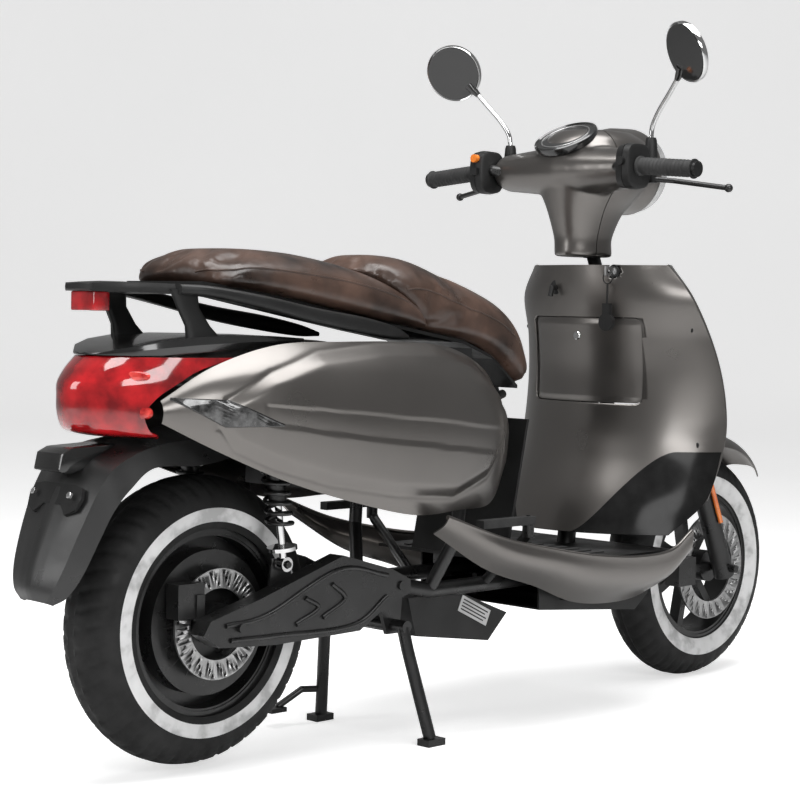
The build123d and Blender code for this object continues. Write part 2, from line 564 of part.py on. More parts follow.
for i in range(7):
    spoke = block(20, RIM_R - 6, -12, 12, -9, 9)
    rim += Pos(FRONT_AXLE[0], 0, FRONT_AXLE[1]) * Rot(0, i * 360 / 7, 0) * spoke
save("front_rim", rim - wheel_ring(FRONT_AXLE, -70, 70, 8, 0))


def tyre(centre, outer, half, crown):
    """A tyre: a ring with rounded shoulders."""
    x, z = centre
    outline = Plane.XY * make_face(Polyline((RIM_R + 6.3, -half * 0.72), (RIM_R + 26, -half * 0.95),
                                            (outer - crown, -half),
                                            (outer - crown * 0.35, -half * 0.8), (outer,
                                                                                  -half * 0.3), (outer,
                                                                                                 half * 0.3),
                                            (outer - crown * 0.35, half * 0.8), (outer - crown, half),
                                            (RIM_R + 26, half * 0.95), (RIM_R + 6.3,
                                                                        half * 0.72), close=True))
    ring_solid = revolve(outline, Axis.Y, 360)
    return Pos(x, 0, z) * ring_solid


save("front_tyre", tyre(FRONT_AXLE, FRONT_TYRE_R, FRONT_TYRE_HALF, 34))
save("rear_tyre", tyre(REAR_AXLE, REAR_TYRE_R, REAR_TYRE_HALF, 36))
cal = block(1205, 1262, -92, -58, 205, 262) - wheel_ring(FRONT_AXLE, -DISC_Y - 1.5, -DISC_Y + 5.5, 112.5, 0)
cal += block(1225, 1352, -FORK_HALF + SLIDER_R + SEAT_GAP, -DISC_Y - 2, 226, 242)
cal -= rod(steer(TRAIL_OFFSET, -FORK_HALF, -18), steer(TRAIL_OFFSET, -FORK_HALF, SLIDER_TOP),
           SLIDER_R + SEAT_GAP)
save("front_caliper", cal - wheel_ring(FRONT_AXLE, -100, -55, 12, 0))

# ---- swingarm, rear wheel, shocks --------------------------------------------------------------------
ARM_IN, ARM_OUT = 92.0, 126.0
arm_outline = [(-60, 262), (42, 288), (227, 345), (343, 313), (388, 292), (388, 268), (345, 258), (267,
                                                                                                   215), (77, 211),
               (-40, 218), (-74, 240)]
arm_plate = side_plate(arm_outline, -ARM_OUT, -ARM_IN)
swing = fuse([arm_plate, flip(arm_plate), rod((305, -95, 272), (305, 95, 272), 22)])
swing -= rod((PIVOT[0], -ARM_OUT - 5, PIVOT[1]), (PIVOT[0], ARM_OUT + 5, PIVOT[1]), PIVOT_PIN - RUN)
swing += rod((PIVOT[0], -ARM_OUT - 4, PIVOT[1]), (PIVOT[0], ARM_OUT + 4, PIVOT[1]), PIVOT_PIN - RUN)
swing += rod((0, -ARM_OUT - 8, REAR_AXLE[1]), (0, ARM_OUT + 8, REAR_AXLE[1]), 7 - RUN)
for side in SIDES:
    lug = side_plate([(85, 285), (140, 300), (128, 346), (92, 346)], min(side * 92, side * 97),
                     max(side * 92, side * 97))
    swing += lug + rod((SHOCK_FOOT[0], side * 94, SHOCK_FOOT[1]), (SHOCK_FOOT[0], side * 122,
                                                                   SHOCK_FOOT[1]), SHOCK_PIN)
    swing -= block(88, 132, min(side * 97.5, side * 130), max(side * 97.5, side * 130), 318, 375)
    swing += rod((SHOCK_FOOT[0], side * 94, SHOCK_FOOT[1]), (SHOCK_FOOT[0], side * 122, SHOCK_FOOT[1]),
                 SHOCK_PIN)
save("swingarm", swing)
hub = wheel_ring(REAR_AXLE, -50, 50, 118, 0) + wheel_ring(REAR_AXLE, -46, 46, RIM_R, RIM_R - 12)
hub += wheel_ring(REAR_AXLE, -48, -40, RIM_R + 6, RIM_R - 8) + wheel_ring(REAR_AXLE, 40, 48, RIM_R + 6,
                                                                          RIM_R - 8)
hub += wheel_ring(REAR_AXLE, -14, 14, RIM_R - 6, 60) + wheel_ring(REAR_AXLE, -76, 60, 34, 0)
save("rear_hub_motor", hub - wheel_ring(REAR_AXLE, -80, 80, 7, 0))
save("rear_disc", wheel_ring(REAR_AXLE, -74, -70, 90, 34 + RUN))
rear_cal = block(-95, -42, -88, -58, 262, 318) - wheel_ring(REAR_AXLE, -75.5, -68.5, 92, 0)
rear_cal -= wheel_ring(REAR_AXLE, -55, -95, 52, 0)
rear_cal += block(-60, -44, -ARM_IN + SEAT_GAP, -84, 258, 300) & wheel_ring(REAR_AXLE, -95, -52, 125, 40)
save("rear_caliper", rear_cal)

shock_dir = (Vector(SHOCK_FOOT[0], 0, SHOCK_FOOT[1]) - Vector(SHOCK_TOP[0], 0, SHOCK_TOP[1])).normalized()
shock_len = sqrt((SHOCK_FOOT[0] - SHOCK_TOP[0]) ** 2 + (SHOCK_FOOT[1] - SHOCK_TOP[1]) ** 2)


def on_shock(side, distance):
    return Vector(SHOCK_TOP[0], side * SHOCK_Y, SHOCK_TOP[1]) + shock_dir * distance


bodies, rods, coils = [], [], []
for side in SIDES:
    eye = rod((SHOCK_TOP[0], side * SHOCK_Y - 9, SHOCK_TOP[1]), (SHOCK_TOP[0], side * SHOCK_Y + 9,
                                                                 SHOCK_TOP[1]), 12)
    tube = eye + rod(on_shock(side, 8), on_shock(side, 150), 15) + rod(on_shock(side, 22), on_shock(side,
                                                                                                    28), 25)
    tube -= rod(on_shock(side, 60), on_shock(side, 151), 6 + RUN)
    tube -= rod((SHOCK_TOP[0], side * SHOCK_Y - 12, SHOCK_TOP[1]), (SHOCK_TOP[0], side * SHOCK_Y + 12,
                                                                    SHOCK_TOP[1]), SHOCK_PIN)
    bodies.append(tube)
    foot = rod((SHOCK_FOOT[0], side * SHOCK_Y - 9, SHOCK_FOOT[1]), (SHOCK_FOOT[0], side * SHOCK_Y + 9,
                                                                    SHOCK_FOOT[1]), 12)
    low = foot + rod(on_shock(side, 110), on_shock(side, shock_len - 6), 6)
    low += rod(on_shock(side, shock_len - 30), on_shock(side, shock_len - 24), 25)
    low -= rod((SHOCK_FOOT[0], side * SHOCK_Y - 12, SHOCK_FOOT[1]), (SHOCK_FOOT[0], side * SHOCK_Y + 12,
                                                                     SHOCK_FOOT[1]),
               SHOCK_PIN + 2)
    rods.append(low)
    coils.append(rod(on_shock(side, 28 + SEAT_GAP), on_shock(side, shock_len - 30 - SEAT_GAP), 24, 17))
save("shock_bodies", bodies)
save("shock_rods", rods)
save("shock_springs", coils)

# ---- centre stand ------------------------------------------------------------------------------------
FOOT_X, FOOT_Y = 435.0, 141.0
px, pz = STAND_PIVOT
stand = rod((px, -108, pz), (px, 108, pz), STAND_SHAFT)
for side in SIDES:
    stand += bent([(px, side * 97, pz), (px + 5, side * 105, 165), (FOOT_X - 4, side * (FOOT_Y - 3), 12)],
                  11)
    stand += block(FOOT_X - 24, FOOT_X + 18, side * FOOT_Y - 14, side * FOOT_Y + 14, 0, 12)
stand += bent([(424, 130, 60), (385, 142, 62), (340, 156, 34)], 6) + block(312, 348, 140, 168, 26, 34)
stand -= block(0, 800, -300, 300, -50, 0)
save("centre_stand", stand)

# ---- seat --------------------------------------------------------------------------------------------
BASE_TOP = [(-62, 794), (100, 776), (300, 742), (420, 722), (540, 704), (620, 676), (690, 622)]
BASE_LOW = [(x, z - 6) for x, z in BASE_TOP]
base = side_plate(BASE_TOP + BASE_LOW[::-1], -96, 96) + side_plate([(x, z) for x, z in BASE_TOP[1:4]]
                                                                  + [(x, z) for x,
                                                                     z in BASE_LOW[3:0:-1]], -96, 96)
hx, hz = SEAT_HINGE
base += side_plate([(682, 622), (690, 616), (hx - 6, hz), (hx + 6, hz), (hx, hz + 14)], -40, 40)
base += rod((hx, -40, hz), (hx, 40, hz), 7)
base -= rod((hx, -45, hz), (hx, 45, hz), SEAT_PIN)
save("seat_base", base)
pillion_outline = [(-62, 794), (-74, 812), (-50, 832), (10, 840), (170, 838), (300, 822), (380, 796),
                   (425, 760),
                   (430, 720.5), (420, 722), (300, 742), (100, 776)]
rider_outline = [(432, 720.5), (428, 762), (384, 800), (302, 826), (340, 838), (400, 832), (500, 808),
                 (600, 794),
                 (665, 776), (710, 730), (726, 680), (726, 640), (692, 626), (690, 622), (620, 676), (540,
                                                                                                      704)]


def cushion(outline, half, gap):
    return side_plate([(x, z + gap) for x, z in outline], -half, half)


save("seat_pillion_cushion", cushion(pillion_outline, 132, SEAT_GAP))
save("seat_rider_cushion", cushion(rider_outline, 128, SEAT_GAP))

# ---- pillion footpegs --------------------------------------------------------------------------------
peg = block(484, PEG_X + 10, -PEG_Y - 9, -PEG_Y + 9, PEG_Z - 7.7, PEG_Z + 7)
peg -= rod((PEG_X, -PEG_Y, PEG_Z - 20), (PEG_X, -PEG_Y, PEG_Z + 20), PEG_PIN)
save("footpeg_right", peg)
save("footpeg_left", flip(peg))
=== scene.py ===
"""The looks of a moped scooter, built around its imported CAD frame.

Lengths are in millimetres in the part's own frame, whose origin is on the floor under the rear
axle: at() turns them into metres in the row frame. The front of the machine is +x.
"""

import math

import bmesh
import bpy
from mathutils import Matrix, Vector


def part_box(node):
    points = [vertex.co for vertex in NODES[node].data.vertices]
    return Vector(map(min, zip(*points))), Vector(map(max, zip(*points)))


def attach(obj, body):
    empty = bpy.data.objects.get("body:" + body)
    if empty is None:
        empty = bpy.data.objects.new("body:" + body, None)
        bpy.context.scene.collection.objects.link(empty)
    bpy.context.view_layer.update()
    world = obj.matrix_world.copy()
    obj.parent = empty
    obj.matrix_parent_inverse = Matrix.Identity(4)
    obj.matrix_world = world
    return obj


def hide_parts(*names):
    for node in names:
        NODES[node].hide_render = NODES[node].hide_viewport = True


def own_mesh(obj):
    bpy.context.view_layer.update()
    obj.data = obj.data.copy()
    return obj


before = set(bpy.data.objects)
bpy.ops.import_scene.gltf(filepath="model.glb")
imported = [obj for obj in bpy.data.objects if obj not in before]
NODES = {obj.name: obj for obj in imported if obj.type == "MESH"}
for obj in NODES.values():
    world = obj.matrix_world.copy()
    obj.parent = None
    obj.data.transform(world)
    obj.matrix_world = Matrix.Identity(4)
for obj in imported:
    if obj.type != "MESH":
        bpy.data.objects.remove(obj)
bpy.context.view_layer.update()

MM = 0.001
FRONT_AXLE_X = 1350.0
OX = sum(corner.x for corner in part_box("front_rim")) / 2 - FRONT_AXLE_X * MM


def at(x, y, z):
    """A point of the part's own frame, in millimetres, as metres in the row frame."""
    return Vector((OX + x * MM, y * MM, z * MM))


# ---------------------------------------------------------------- materials

MATERIALS = {}


def node(tree, kind, **sockets):
    """A new shader node, with its sockets set by name (spaces written as _)."""
    made = tree.nodes.new(kind)
    for name, value in sockets.items():
        made.inputs[name.replace("_", " ")].default_value = value
    return made


def object_noise(tree, scale, detail=3.0):
    """Noise in object coordinates, which stay with the piece as it moves."""
    where = tree.nodes.new("ShaderNodeTexCoord")
    made = node(tree, "ShaderNodeTexNoise", Scale=scale, Detail=detail)
    tree.links.new(where.outputs["Object"], made.inputs["Vector"])
    return made


def ramp(tree, source, stops):
    """A colour ramp over source, from (place, colour) pairs."""
    made = tree.nodes.new("ShaderNodeValToRGB")
    elements = made.color_ramp.elements
    while len(elements) < len(stops):
        elements.new(0.5)
    for element, (place, colour) in zip(elements, stops):
        element.position = place
        element.color = (*colour, 1.0) if len(colour) == 3 else colour
    tree.links.new(source, made.inputs["Fac"])
    return made.outputs["Color"]


def grey(value):
    return (value, value, value)


def bumped(tree, height, strength, distance=0.001):
    """Joins a bump of that height to the shader's normal."""
    bump = node(tree, "ShaderNodeBump", Strength=strength, Distance=distance)
    tree.links.new(height, bump.inputs["Height"])
    shader = tree.nodes["Principled BSDF"]
    tree.links.new(bump.outputs["Normal"], shader.inputs["Normal"])


def material(name, dark, light, rough, metal=0.0, scale=9.0, grain=(500.0, 0.15), **shader_sockets):
    """A finish whose colour drifts between dark and light, with roughness to match and a grain.

    rough is (least, most), and grain is (scale, strength) of the fine bump."""
    made = bpy.data.materials.new(name)
    made.use_nodes = True
    tree = made.node_tree
    shader = tree.nodes["Principled BSDF"]
    shader.inputs["Metallic"].default_value = metal
    for socket, value in shader_sockets.items():
        shader.inputs[socket.replace("_", " ")].default_value = value
    drift = object_noise(tree, scale, 5.0).outputs["Fac"]
    colour = ramp(tree, drift, [(0.35, dark), (0.65, light)])
    tree.links.new(colour, shader.inputs["Base Color"])
    wear = object_noise(tree, scale * 3.0, 6.0).outputs["Fac"]
    shine = ramp(tree, wear, [(0.3, grey(rough[0])), (0.7, grey(rough[1]))])
    tree.links.new(shine, shader.inputs["Roughness"])
    bumped(tree, object_noise(tree, grain[0], 2.0).outputs["Fac"], grain[1], 0.0004)
    MATERIALS[name] = made
    return made


def maths(tree, kind, operation, first, second=None):
    """A maths node of that kind, Math or VectorMath, over sockets or plain values."""
    made = tree.nodes.new("ShaderNode" + kind)
    made.operation = operation
    for socket, value in zip(made.inputs, (first, second)):
        if isinstance(value, bpy.types.NodeSocket):
            tree.links.new(value, socket)
        elif value is not None:
            socket.default_value = value
    return made.outputs["Value" if kind == "Math" or operation == "LENGTH" else "Vector"]


def radius_from(tree, centre):
    """The distance from an axle along y, read from object coordinates."""
    where = tree.nodes.new("ShaderNodeTexCoord").outputs["Object"]
    shift = maths(tree, "VectorMath", "SUBTRACT", where, (centre.x, 0.0, centre.z))
    flat = maths(tree, "VectorMath", "MULTIPLY", shift, (1.0, 0.0, 1.0))
    return maths(tree, "VectorMath", "LENGTH", flat)


def between(tree, value, low, high):
    """1 where value is from low to high, else 0."""
    above = maths(tree, "Math", "GREATER_THAN", value, low)
    below = maths(tree, "Math", "LESS_THAN", value, high)
    return maths(tree, "Math", "MULTIPLY", above, below)


def mixed(tree, factor, first, second):
    """Colour first where factor is 0 and second where it is 1."""
    made = tree.nodes.new("ShaderNodeMix")
    made.data_type = "RGBA"
    tree.links.new(factor, made.inputs["Factor"])
    tree.links.new(first, made.inputs[6])
    tree.links.new(second, made.inputs[7])
    return made.outputs[2]


def tyre_material(name, centre, band):
    """Black rubber with a worn white band between two radii, in metres."""
    made = material(name, grey(0.006), grey(0.012), (0.5, 0.75), scale=14.0, grain=(700.0, 0.3),
                    Specular_IOR_Level=0.3)
    tree = made.node_tree
    shader = tree.nodes["Principled BSDF"]
    inside = between(tree, radius_from(tree, centre), *band)
    dirt = object_noise(tree, 26.0, 8.0).outputs["Fac"]
    white = ramp(tree, dirt, [(0.36, grey(0.38)), (0.5, grey(0.60)), (0.7, grey(0.68))])
    rubber = shader.inputs["Base Color"].links[0].from_socket
    tree.links.new(mixed(tree, inside, rubber, white), shader.inputs["Base Color"])
    return made


material("paint", (0.150, 0.141, 0.133), (0.165, 0.155, 0.146), (0.27, 0.34), metal=0.9,
         scale=3.0, grain=(1600.0, 0.05), Coat_Weight=0.3, Coat_Roughness=0.15)
material("black_plastic", grey(0.006), grey(0.011), (0.36, 0.55), scale=6.0, grain=(900.0, 0.35),
         Specular_IOR_Level=0.35)
material("fender_black", grey(0.010), grey(0.018), (0.26, 0.42), scale=6.0, grain=(900.0, 0.3))
material("black_gloss", grey(0.008), grey(0.012), (0.14, 0.24), scale=6.0, grain=(300.0, 0.04),
         Coat_Weight=0.6, Coat_Roughness=0.06)
material("frame_black", grey(0.006), grey(0.011), (0.24, 0.4), scale=12.0, grain=(400.0, 0.2))
material("rubber", grey(0.014), grey(0.026), (0.6, 0.85), scale=20.0, grain=(600.0, 0.4))
material("steel", grey(0.42), grey(0.55), (0.26, 0.42), metal=1.0, scale=30.0, grain=(500.0, 0.1))
material("chrome", grey(0.62), grey(0.7), (0.05, 0.1), metal=1.0, scale=10.0, grain=(200.0, 0.02))
material("aluminium", grey(0.22), grey(0.3), (0.32, 0.45), metal=0.9, scale=24.0,
         grain=(500.0, 0.15))
# The tail lens colour drifts between dark and bright red at a fine scale: painted reflections over the
# lens's own red.
material("red_lens", (0.16, 0.002, 0.004), (0.52, 0.010, 0.014), (0.08, 0.14), scale=24.0,
         grain=(60.0, 0.08), Coat_Weight=1.0, Coat_Roughness=0.03)
# Brighter red for the tail lamp's inner reflectors, drifting finely between dark and bright: a painted
# highlight and reflection, not lamp light.
material("red_painted_glint", (0.35, 0.006, 0.008), (0.95, 0.10, 0.08), (0.08, 0.16), scale=60.0,
         grain=(120.0, 0.3), Coat_Weight=1.0, Coat_Roughness=0.03)
material("smoked_lens", grey(0.01), grey(0.09), (0.1, 0.2), metal=0.3, scale=90.0,
         grain=(240.0, 0.2), Coat_Weight=1.0, Coat_Roughness=0.04)
material("clear_lens", grey(0.35), grey(0.7), (0.05, 0.1), metal=0.6, scale=20.0,
         grain=(120.0, 0.1), Coat_Weight=1.0, Coat_Roughness=0.02)
material("orange_lens", (0.6, 0.12, 0.01), (0.75, 0.2, 0.02), (0.1, 0.2), scale=20.0,
         grain=(90.0, 0.2), Coat_Weight=1.0, Coat_Roughness=0.04)
material("mirror_glass", grey(0.055), grey(0.06), (0.04, 0.07), metal=0.6, scale=2.0,
         grain=(50.0, 0.01))
material("disc_steel", grey(0.30), grey(0.42), (0.28, 0.4), metal=1.0, scale=40.0,
         grain=(300.0, 0.15))
material("leather", (0.013, 0.008, 0.006), (0.085, 0.050, 0.037), (0.26, 0.42), scale=10.0,
         grain=(420.0, 0.35), Specular_IOR_Level=0.45)
material("plate_silver", grey(0.45), grey(0.6), (0.3, 0.45), metal=0.7, scale=20.0,
         grain=(300.0, 0.1))
REAR_AXLE = at(0, 0, 246)
FRONT_AXLE = at(FRONT_AXLE_X, 0, 234)
tyre_material("rear_rubber", REAR_AXLE, (0.1635, 0.186))
tyre_material("front_rubber", FRONT_AXLE, (0.154, 0.1875))

# Each finish, and the CAD nodes that have it.
FINISHES = {
    "frame_black":
        "frame steering_stem handlebar brake_lever_left brake_lever_right fork_sliders "
        "front_caliper front_rim swingarm rear_caliper rear_hub_motor shock_bodies "
        "centre_stand",
    "black_plastic":
        "battery_case battery_pack storage_bucket bag_hook footboard belly_pan grab_rail "
        "rear_fender switch_housings turn_switch start_button seat_base key_fob",
    "aluminium": "motor_controller",
    "paint":
        "front_apron inner_legshield side_skirts side_covers handlebar_rear_cover "
        "handlebar_front_cover front_fender glovebox_door",
    "black_gloss":
        "ignition_lock tail_cover instrument_display mirror_stem_left mirror_stem_right "
        "mirror_head_left mirror_head_right",
    "smoked_lens": "turn_signals",
    "red_lens": "tail_light",
    "clear_lens": "headlight",
    "rubber": "left_grip throttle_grip footpeg_left footpeg_right",
    "orange_lens": "horn_button fork_reflectors",
    "front_rubber": "front_tyre",
    "disc_steel": "front_disc rear_disc",
    "rear_rubber": "rear_tyre",
    "chrome": "shock_springs shock_rods",
    "leather": "seat_pillion_cushion seat_rider_cushion",
    "steel": "ignition_key",
}


def dress(obj, name):
    """Gives obj that finish alone."""
    obj.data.materials.clear()
    obj.data.materials.append(MATERIALS[name])


for finish, dressed in FINISHES.items():
    for name in dressed.split():
        dress(NODES[name], finish)


def shield_material():
    """Paint, with black foot panels low on either side of the painted tunnel."""
    made = MATERIALS["paint"].copy()
    made.name = "shield_paint"
    MATERIALS["shield_paint"] = made
    tree = made.node_tree
    shader = tree.nodes["Principled BSDF"]
    where = tree.nodes.new("ShaderNodeTexCoord")
    parts = tree.nodes.new("ShaderNodeSeparateXYZ")
    tree.links.new(where.outputs["Object"], parts.inputs[0])
    aside = maths(tree, "Math", "ABSOLUTE", parts.outputs["Y"])
    edge = tree.nodes.new("ShaderNodeMapRange")
    edge.interpolation_type = "SMOOTHSTEP"
    for socket, value in (("From Min", 0.055), ("From Max", 0.20), ("To Min", 0.335),
                          ("To Max", 0.492)):
        edge.inputs[socket].default_value = value
    tree.links.new(aside, edge.inputs["Value"])
    below = maths(tree, "Math", "LESS_THAN", parts.outputs["Z"], edge.outputs["Result"])
    black = object_noise(tree, 40.0).outputs["Fac"]
    black = ramp(tree, black, [(0.3, grey(0.007)), (0.7, grey(0.014))])
    paint = shader.inputs["Base Color"].links[0].from_socket
    tree.links.new(mixed(tree, below, paint, black), shader.inputs["Base Color"])
    shine = shader.inputs["Roughness"].links[0].from_socket
    matt = ramp(tree, below, [(0.4, grey(0.0)), (0.6, grey(0.7))])
    rougher = maths(tree, "Math", "MAXIMUM", shine, matt)
    tree.links.new(rougher, shader.inputs["Roughness"])


shield_material()


# ---------------------------------------------------------------- mesh tools


def catmull(points, count):
    """count points along a smooth curve through points, evenly spread by the points' order."""
    spans = len(points) - 1
    ends = [points[0] * 2 - points[1], *points, points[-1] * 2 - points[-2]]
    made = []
    for i in range(count):
        place = spans * i / (count - 1)
        k = min(int(place), spans - 1)
        t = place - k
        a, b, c, d = ends[k: k + 4]
        made.append(0.5 * (2 * b + (c - a) * t + (2 * a - 5 * b + 4 * c - d) * t * t
                           + (3 * b - a - 3 * c + d) * t ** 3))
    return made


def smooth_grid(stations, along, across):
    """A grid of points through stations, each a list of the same number of points."""
    profiles = [catmull([Vector(p) for p in station], across) for station in stations]
    lines = [catmull([profile[j] for profile in profiles], along) for j in range(across)]
    return [[line[i] for line in lines] for i in range(along)]


def new_object(name, mesh, smooth=True):
    """A new object from a bmesh, which it frees."""
    data = bpy.data.meshes.new(name)
    mesh.to_mesh(data)
    mesh.free()
    made = bpy.data.objects.new(name, data)
    bpy.context.scene.collection.objects.link(made)
    if smooth:
        data.set_sharp_from_angle(angle=math.radians(38))
    return made


def fill_grid(mesh, grid, wrap=False):
    """Faces over a grid of points already in millimetres; wrap closes each row on itself."""
    rows = [[mesh.verts.new(at(*p)) for p in row] for row in grid]
    for low, high in zip(rows, rows[1:]):
        count = len(low) if wrap else len(low) - 1
        for j in range(count):
            k = (j + 1) % len(low)
            mesh.faces.new((low[j], low[k], high[k], high[j]))
    return rows


def sheet(name, grid, thickness):
    """A thin panel over a grid; thickness is in millimetres, behind the face."""
    mesh = bmesh.new()
    fill_grid(mesh, grid)
    bmesh.ops.recalc_face_normals(mesh, faces=mesh.faces)
    bmesh.ops.solidify(mesh, geom=mesh.faces[:], thickness=thickness * MM)
    return new_object(name, mesh)


def closed_loft(name, rings):
    """A solid through rings of points, capped at both ends."""
    mesh = bmesh.new()
    rows = fill_grid(mesh, rings, wrap=True)
    mesh.faces.new(rows[0])
    mesh.faces.new(list(reversed(rows[-1])))
    bmesh.ops.recalc_face_normals(mesh, faces=mesh.faces)
    return new_object(name, mesh)


def oval(centre, across, up, half_across, half_up, count=48, power=2.0):
    """A ring of points: a superellipse in the plane of two directions."""
    ring = []
    for i in range(count):
        a = 2 * math.pi * i / count
        c, s = math.cos(a), math.sin(a)
        u = half_across * math.copysign(abs(c) ** (2 / power), c)
        v = half_up * math.copysign(abs(s) ** (2 / power), s)
        ring.append(Vector(centre) + Vector(across) * u + Vector(up) * v)
    return ring


def tube(name, points, radius, count=16, radii=None):
    """A round rod along smooth points, in millimetres."""
    points = [Vector(p) for p in points]
    rings = []
    for i, p in enumerate(points):
        ahead = (points[min(i + 1, len(points) - 1)] - points[max(i - 1, 0)]).normalized()
        side = ahead.cross(Vector((0, 0, 1)))
        side = ahead.cross(Vector((1, 0, 0))) if side.length < 0.1 else side
        side.normalize()
        size = radii[i] if radii else radius
        rings.append(oval(p, side, ahead.cross(side), size, size, count))
    return closed_loft(name, rings)


def disc(name, centre, axis, radius, thick, count=48, edge=1.5):
    """A round plate or knob with softened edges, its back at centre and its face along axis."""
    axis = Vector(axis).normalized()
    side = axis.cross(Vector((0, 0, 1)))
    side = axis.cross(Vector((1, 0, 0))) if side.length < 0.1 else side
    side.normalize()
    up = axis.cross(side)
    steps = [(0, radius - edge), (edge, radius), (thick - edge, radius), (thick, radius - edge)]
    rings = [oval(Vector(centre) + axis * h, side, up, r, r, count) for h, r in steps]
    return closed_loft(name, rings)


def slab(name, outline, half, centre=0.0, edge=2.0):
    """A plate: outline is (x, z) points, and it spans y from centre - half to centre + half."""
    mesh = bmesh.new()
    ring = [mesh.verts.new(at(x, centre - half, z)) for x, z in outline]
    face = mesh.faces.new(ring)
    made = bmesh.ops.extrude_face_region(mesh, geom=[face])
    moved = [v for v in made["geom"] if isinstance(v, bmesh.types.BMVert)]
    bmesh.ops.translate(mesh, verts=moved, vec=(0, 2 * half * MM, 0))
    bmesh.ops.recalc_face_normals(mesh, faces=mesh.faces)
    if edge:
        bmesh.ops.bevel(mesh, geom=mesh.edges[:], offset=edge * MM, segments=2, profile=0.6,
                        affect="EDGES")
    return new_object(name, mesh)


def baked(obj):
    """Turns obj's modifiers into its mesh."""
    shown = obj.evaluated_get(bpy.context.evaluated_depsgraph_get())
    data = bpy.data.meshes.new_from_object(shown)
    obj.modifiers.clear()
    obj.data = data
    return obj


def joined(name, parts):
    """One object from several, in the first one's place."""
    mesh = bmesh.new()
    for part in parts:
        mesh.from_mesh(part.data)
    made = new_object(name, mesh)
    for part in parts:
        bpy.data.objects.remove(part)
    return made


def cut(obj, tool):
    """Takes tool away from obj."""
    change = obj.modifiers.new("cut", "BOOLEAN")
    change.operation, change.solver, change.object = "DIFFERENCE", "EXACT", tool
    bpy.context.view_layer.update()
    baked(obj)
    bpy.data.objects.remove(tool)
    return obj


def remeshed(obj, voxel, smooth=0):
    """One skin over obj's parts, smoothed so many times; voxel is in millimetres."""
    change = obj.modifiers.new("skin", "REMESH")
    change.mode, change.voxel_size = "VOXEL", voxel * MM
    change.use_smooth_shade = True
    if smooth:
        soft = obj.modifiers.new("soft", "SMOOTH")
        soft.factor, soft.iterations = 0.5, smooth
    return baked(obj)


def place(obj, body, finish, replaces=()):
    """Dresses obj, makes it ride on body, and lets it stand for CAD nodes."""
    dress(obj, finish)
    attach(obj, body)
    if replaces:
        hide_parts(*replaces)
    return obj


def line_at(points, x):
    """The height at x of a line through (x, height) points."""
    if x <= points[0][0]:
        return points[0][1]
    for (x0, z0), (x1, z1) in zip(points, points[1:]):
        if x <= x1:
            return z0 + (z1 - z0) * (x - x0) / (x1 - x0)
    return points[-1][1]


def eased(value, low, high):
    """0 below low, 1 above high, and smooth between them."""
    t = min(1.0, max(0.0, (value - low) / (high - low)))
    return t * t * (3 - 2 * t)


# ---------------------------------------------------------------- side covers

# Each station: x, then (half-width, z) of the top edge, the widest line and the bottom edge.
COVER = [
    (-150, (105, 608), (112, 592), (108, 575)),
    (-60, (122, 660), (150, 605), (136, 530)),
    (60, (134, 694), (182, 598), (162, 480)),
    (200, (141, 700), (197, 580), (173, 440)),
    (340, (143, 700), (200, 570), (176, 411)),
    (460, (139, 690), (190, 560), (166, 412)),
    (560, (126, 652), (166, 548), (149, 418)),
    (625, (113, 590), (131, 545), (126, 485)),
]
CREASE_TOP = [(-64, 590), (-59, 606), (25, 649), (130, 680), (271, 695), (396, 695), (521, 667),
              (600, 607)]
CREASE_BOTTOM = [(-64, 570), (-36, 535), (36, 504), (144, 474), (290, 450), (435, 439),
                 (527, 469), (600, 545)]
BAND_TOP = [(4, 605), (110, 596), (241, 584), (415, 568), (600, 547)]
BAND_BOTTOM = [(4, 571), (153, 550), (289, 535), (417, 520), (598, 502)]
CREASE_PROUD, BAND_DEEP = 4.5, 1.8
FINE = 3.2


def cover_relief(x, z):
    """How far the cover stands out at (x, z): the raised leaf, its valley and the sunk band."""
    inside = min(line_at(CREASE_TOP, x) - z, z - line_at(CREASE_BOTTOM, x), x + 64, 600 - x)
    leaf = CREASE_PROUD * eased(inside, 0, 20)
    valley = 1.4 * math.exp(-((inside + 3) / 5.0) ** 2)
    depth = min(line_at(BAND_TOP, x) - z, z - line_at(BAND_BOTTOM, x), 598 - x, x - 4)
    return leaf - valley - BAND_DEEP * eased(depth, 0, FINE)


def cover_station(x, top, wide, bottom):
    """Five points of the cover's section at x, fuller than straight lines between them."""
    upper = (top[0] + 0.68 * (wide[0] - top[0]), top[1] + 0.42 * (wide[1] - top[1]))
    lower = (wide[0] + 0.34 * (bottom[0] - wide[0]), wide[1] + 0.6 * (bottom[1] - wide[1]))
    return [(x, y, z) for y, z in (top, upper, wide, lower, bottom)]


def side_cover(name, side):
    """One painted side cover; side is 1 on the left and -1 on the right."""
    grid = smooth_grid([cover_station(*row) for row in COVER], int(775 / FINE), int(290 / FINE))
    shaped = []
    for row in grid:
        shaped.append([(p.x, side * (p.y + cover_relief(p.x, p.z)), p.z) for p in row])
    return sheet(name, shaped, 2.5 * side)


def covers():
    for name, side in (("side_cover_left", 1), ("side_cover_right", -1)):
        made = side_cover(name, side)
        place(made, "root", "paint", ["side_covers"])


def cover_y(x, z):
    """The cover's half-width at (x, z), for the pieces that lie on it."""
    rows = [cover_station(*row) for row in COVER]
    xs = [row[0][0] for row in rows]
    k = max(0, min(len(xs) - 2, sum(1 for v in xs if v <= x) - 1))
    t = (x - xs[k]) / (xs[k + 1] - xs[k])
    mixed_row = [Vector(a).lerp(Vector(b), t) for a, b in zip(rows[k], rows[k + 1])]
    line = catmull(mixed_row, 40)
    return line_at(sorted((p.z, p.y) for p in line), z)


# ---------------------------------------------------------------- leg shield

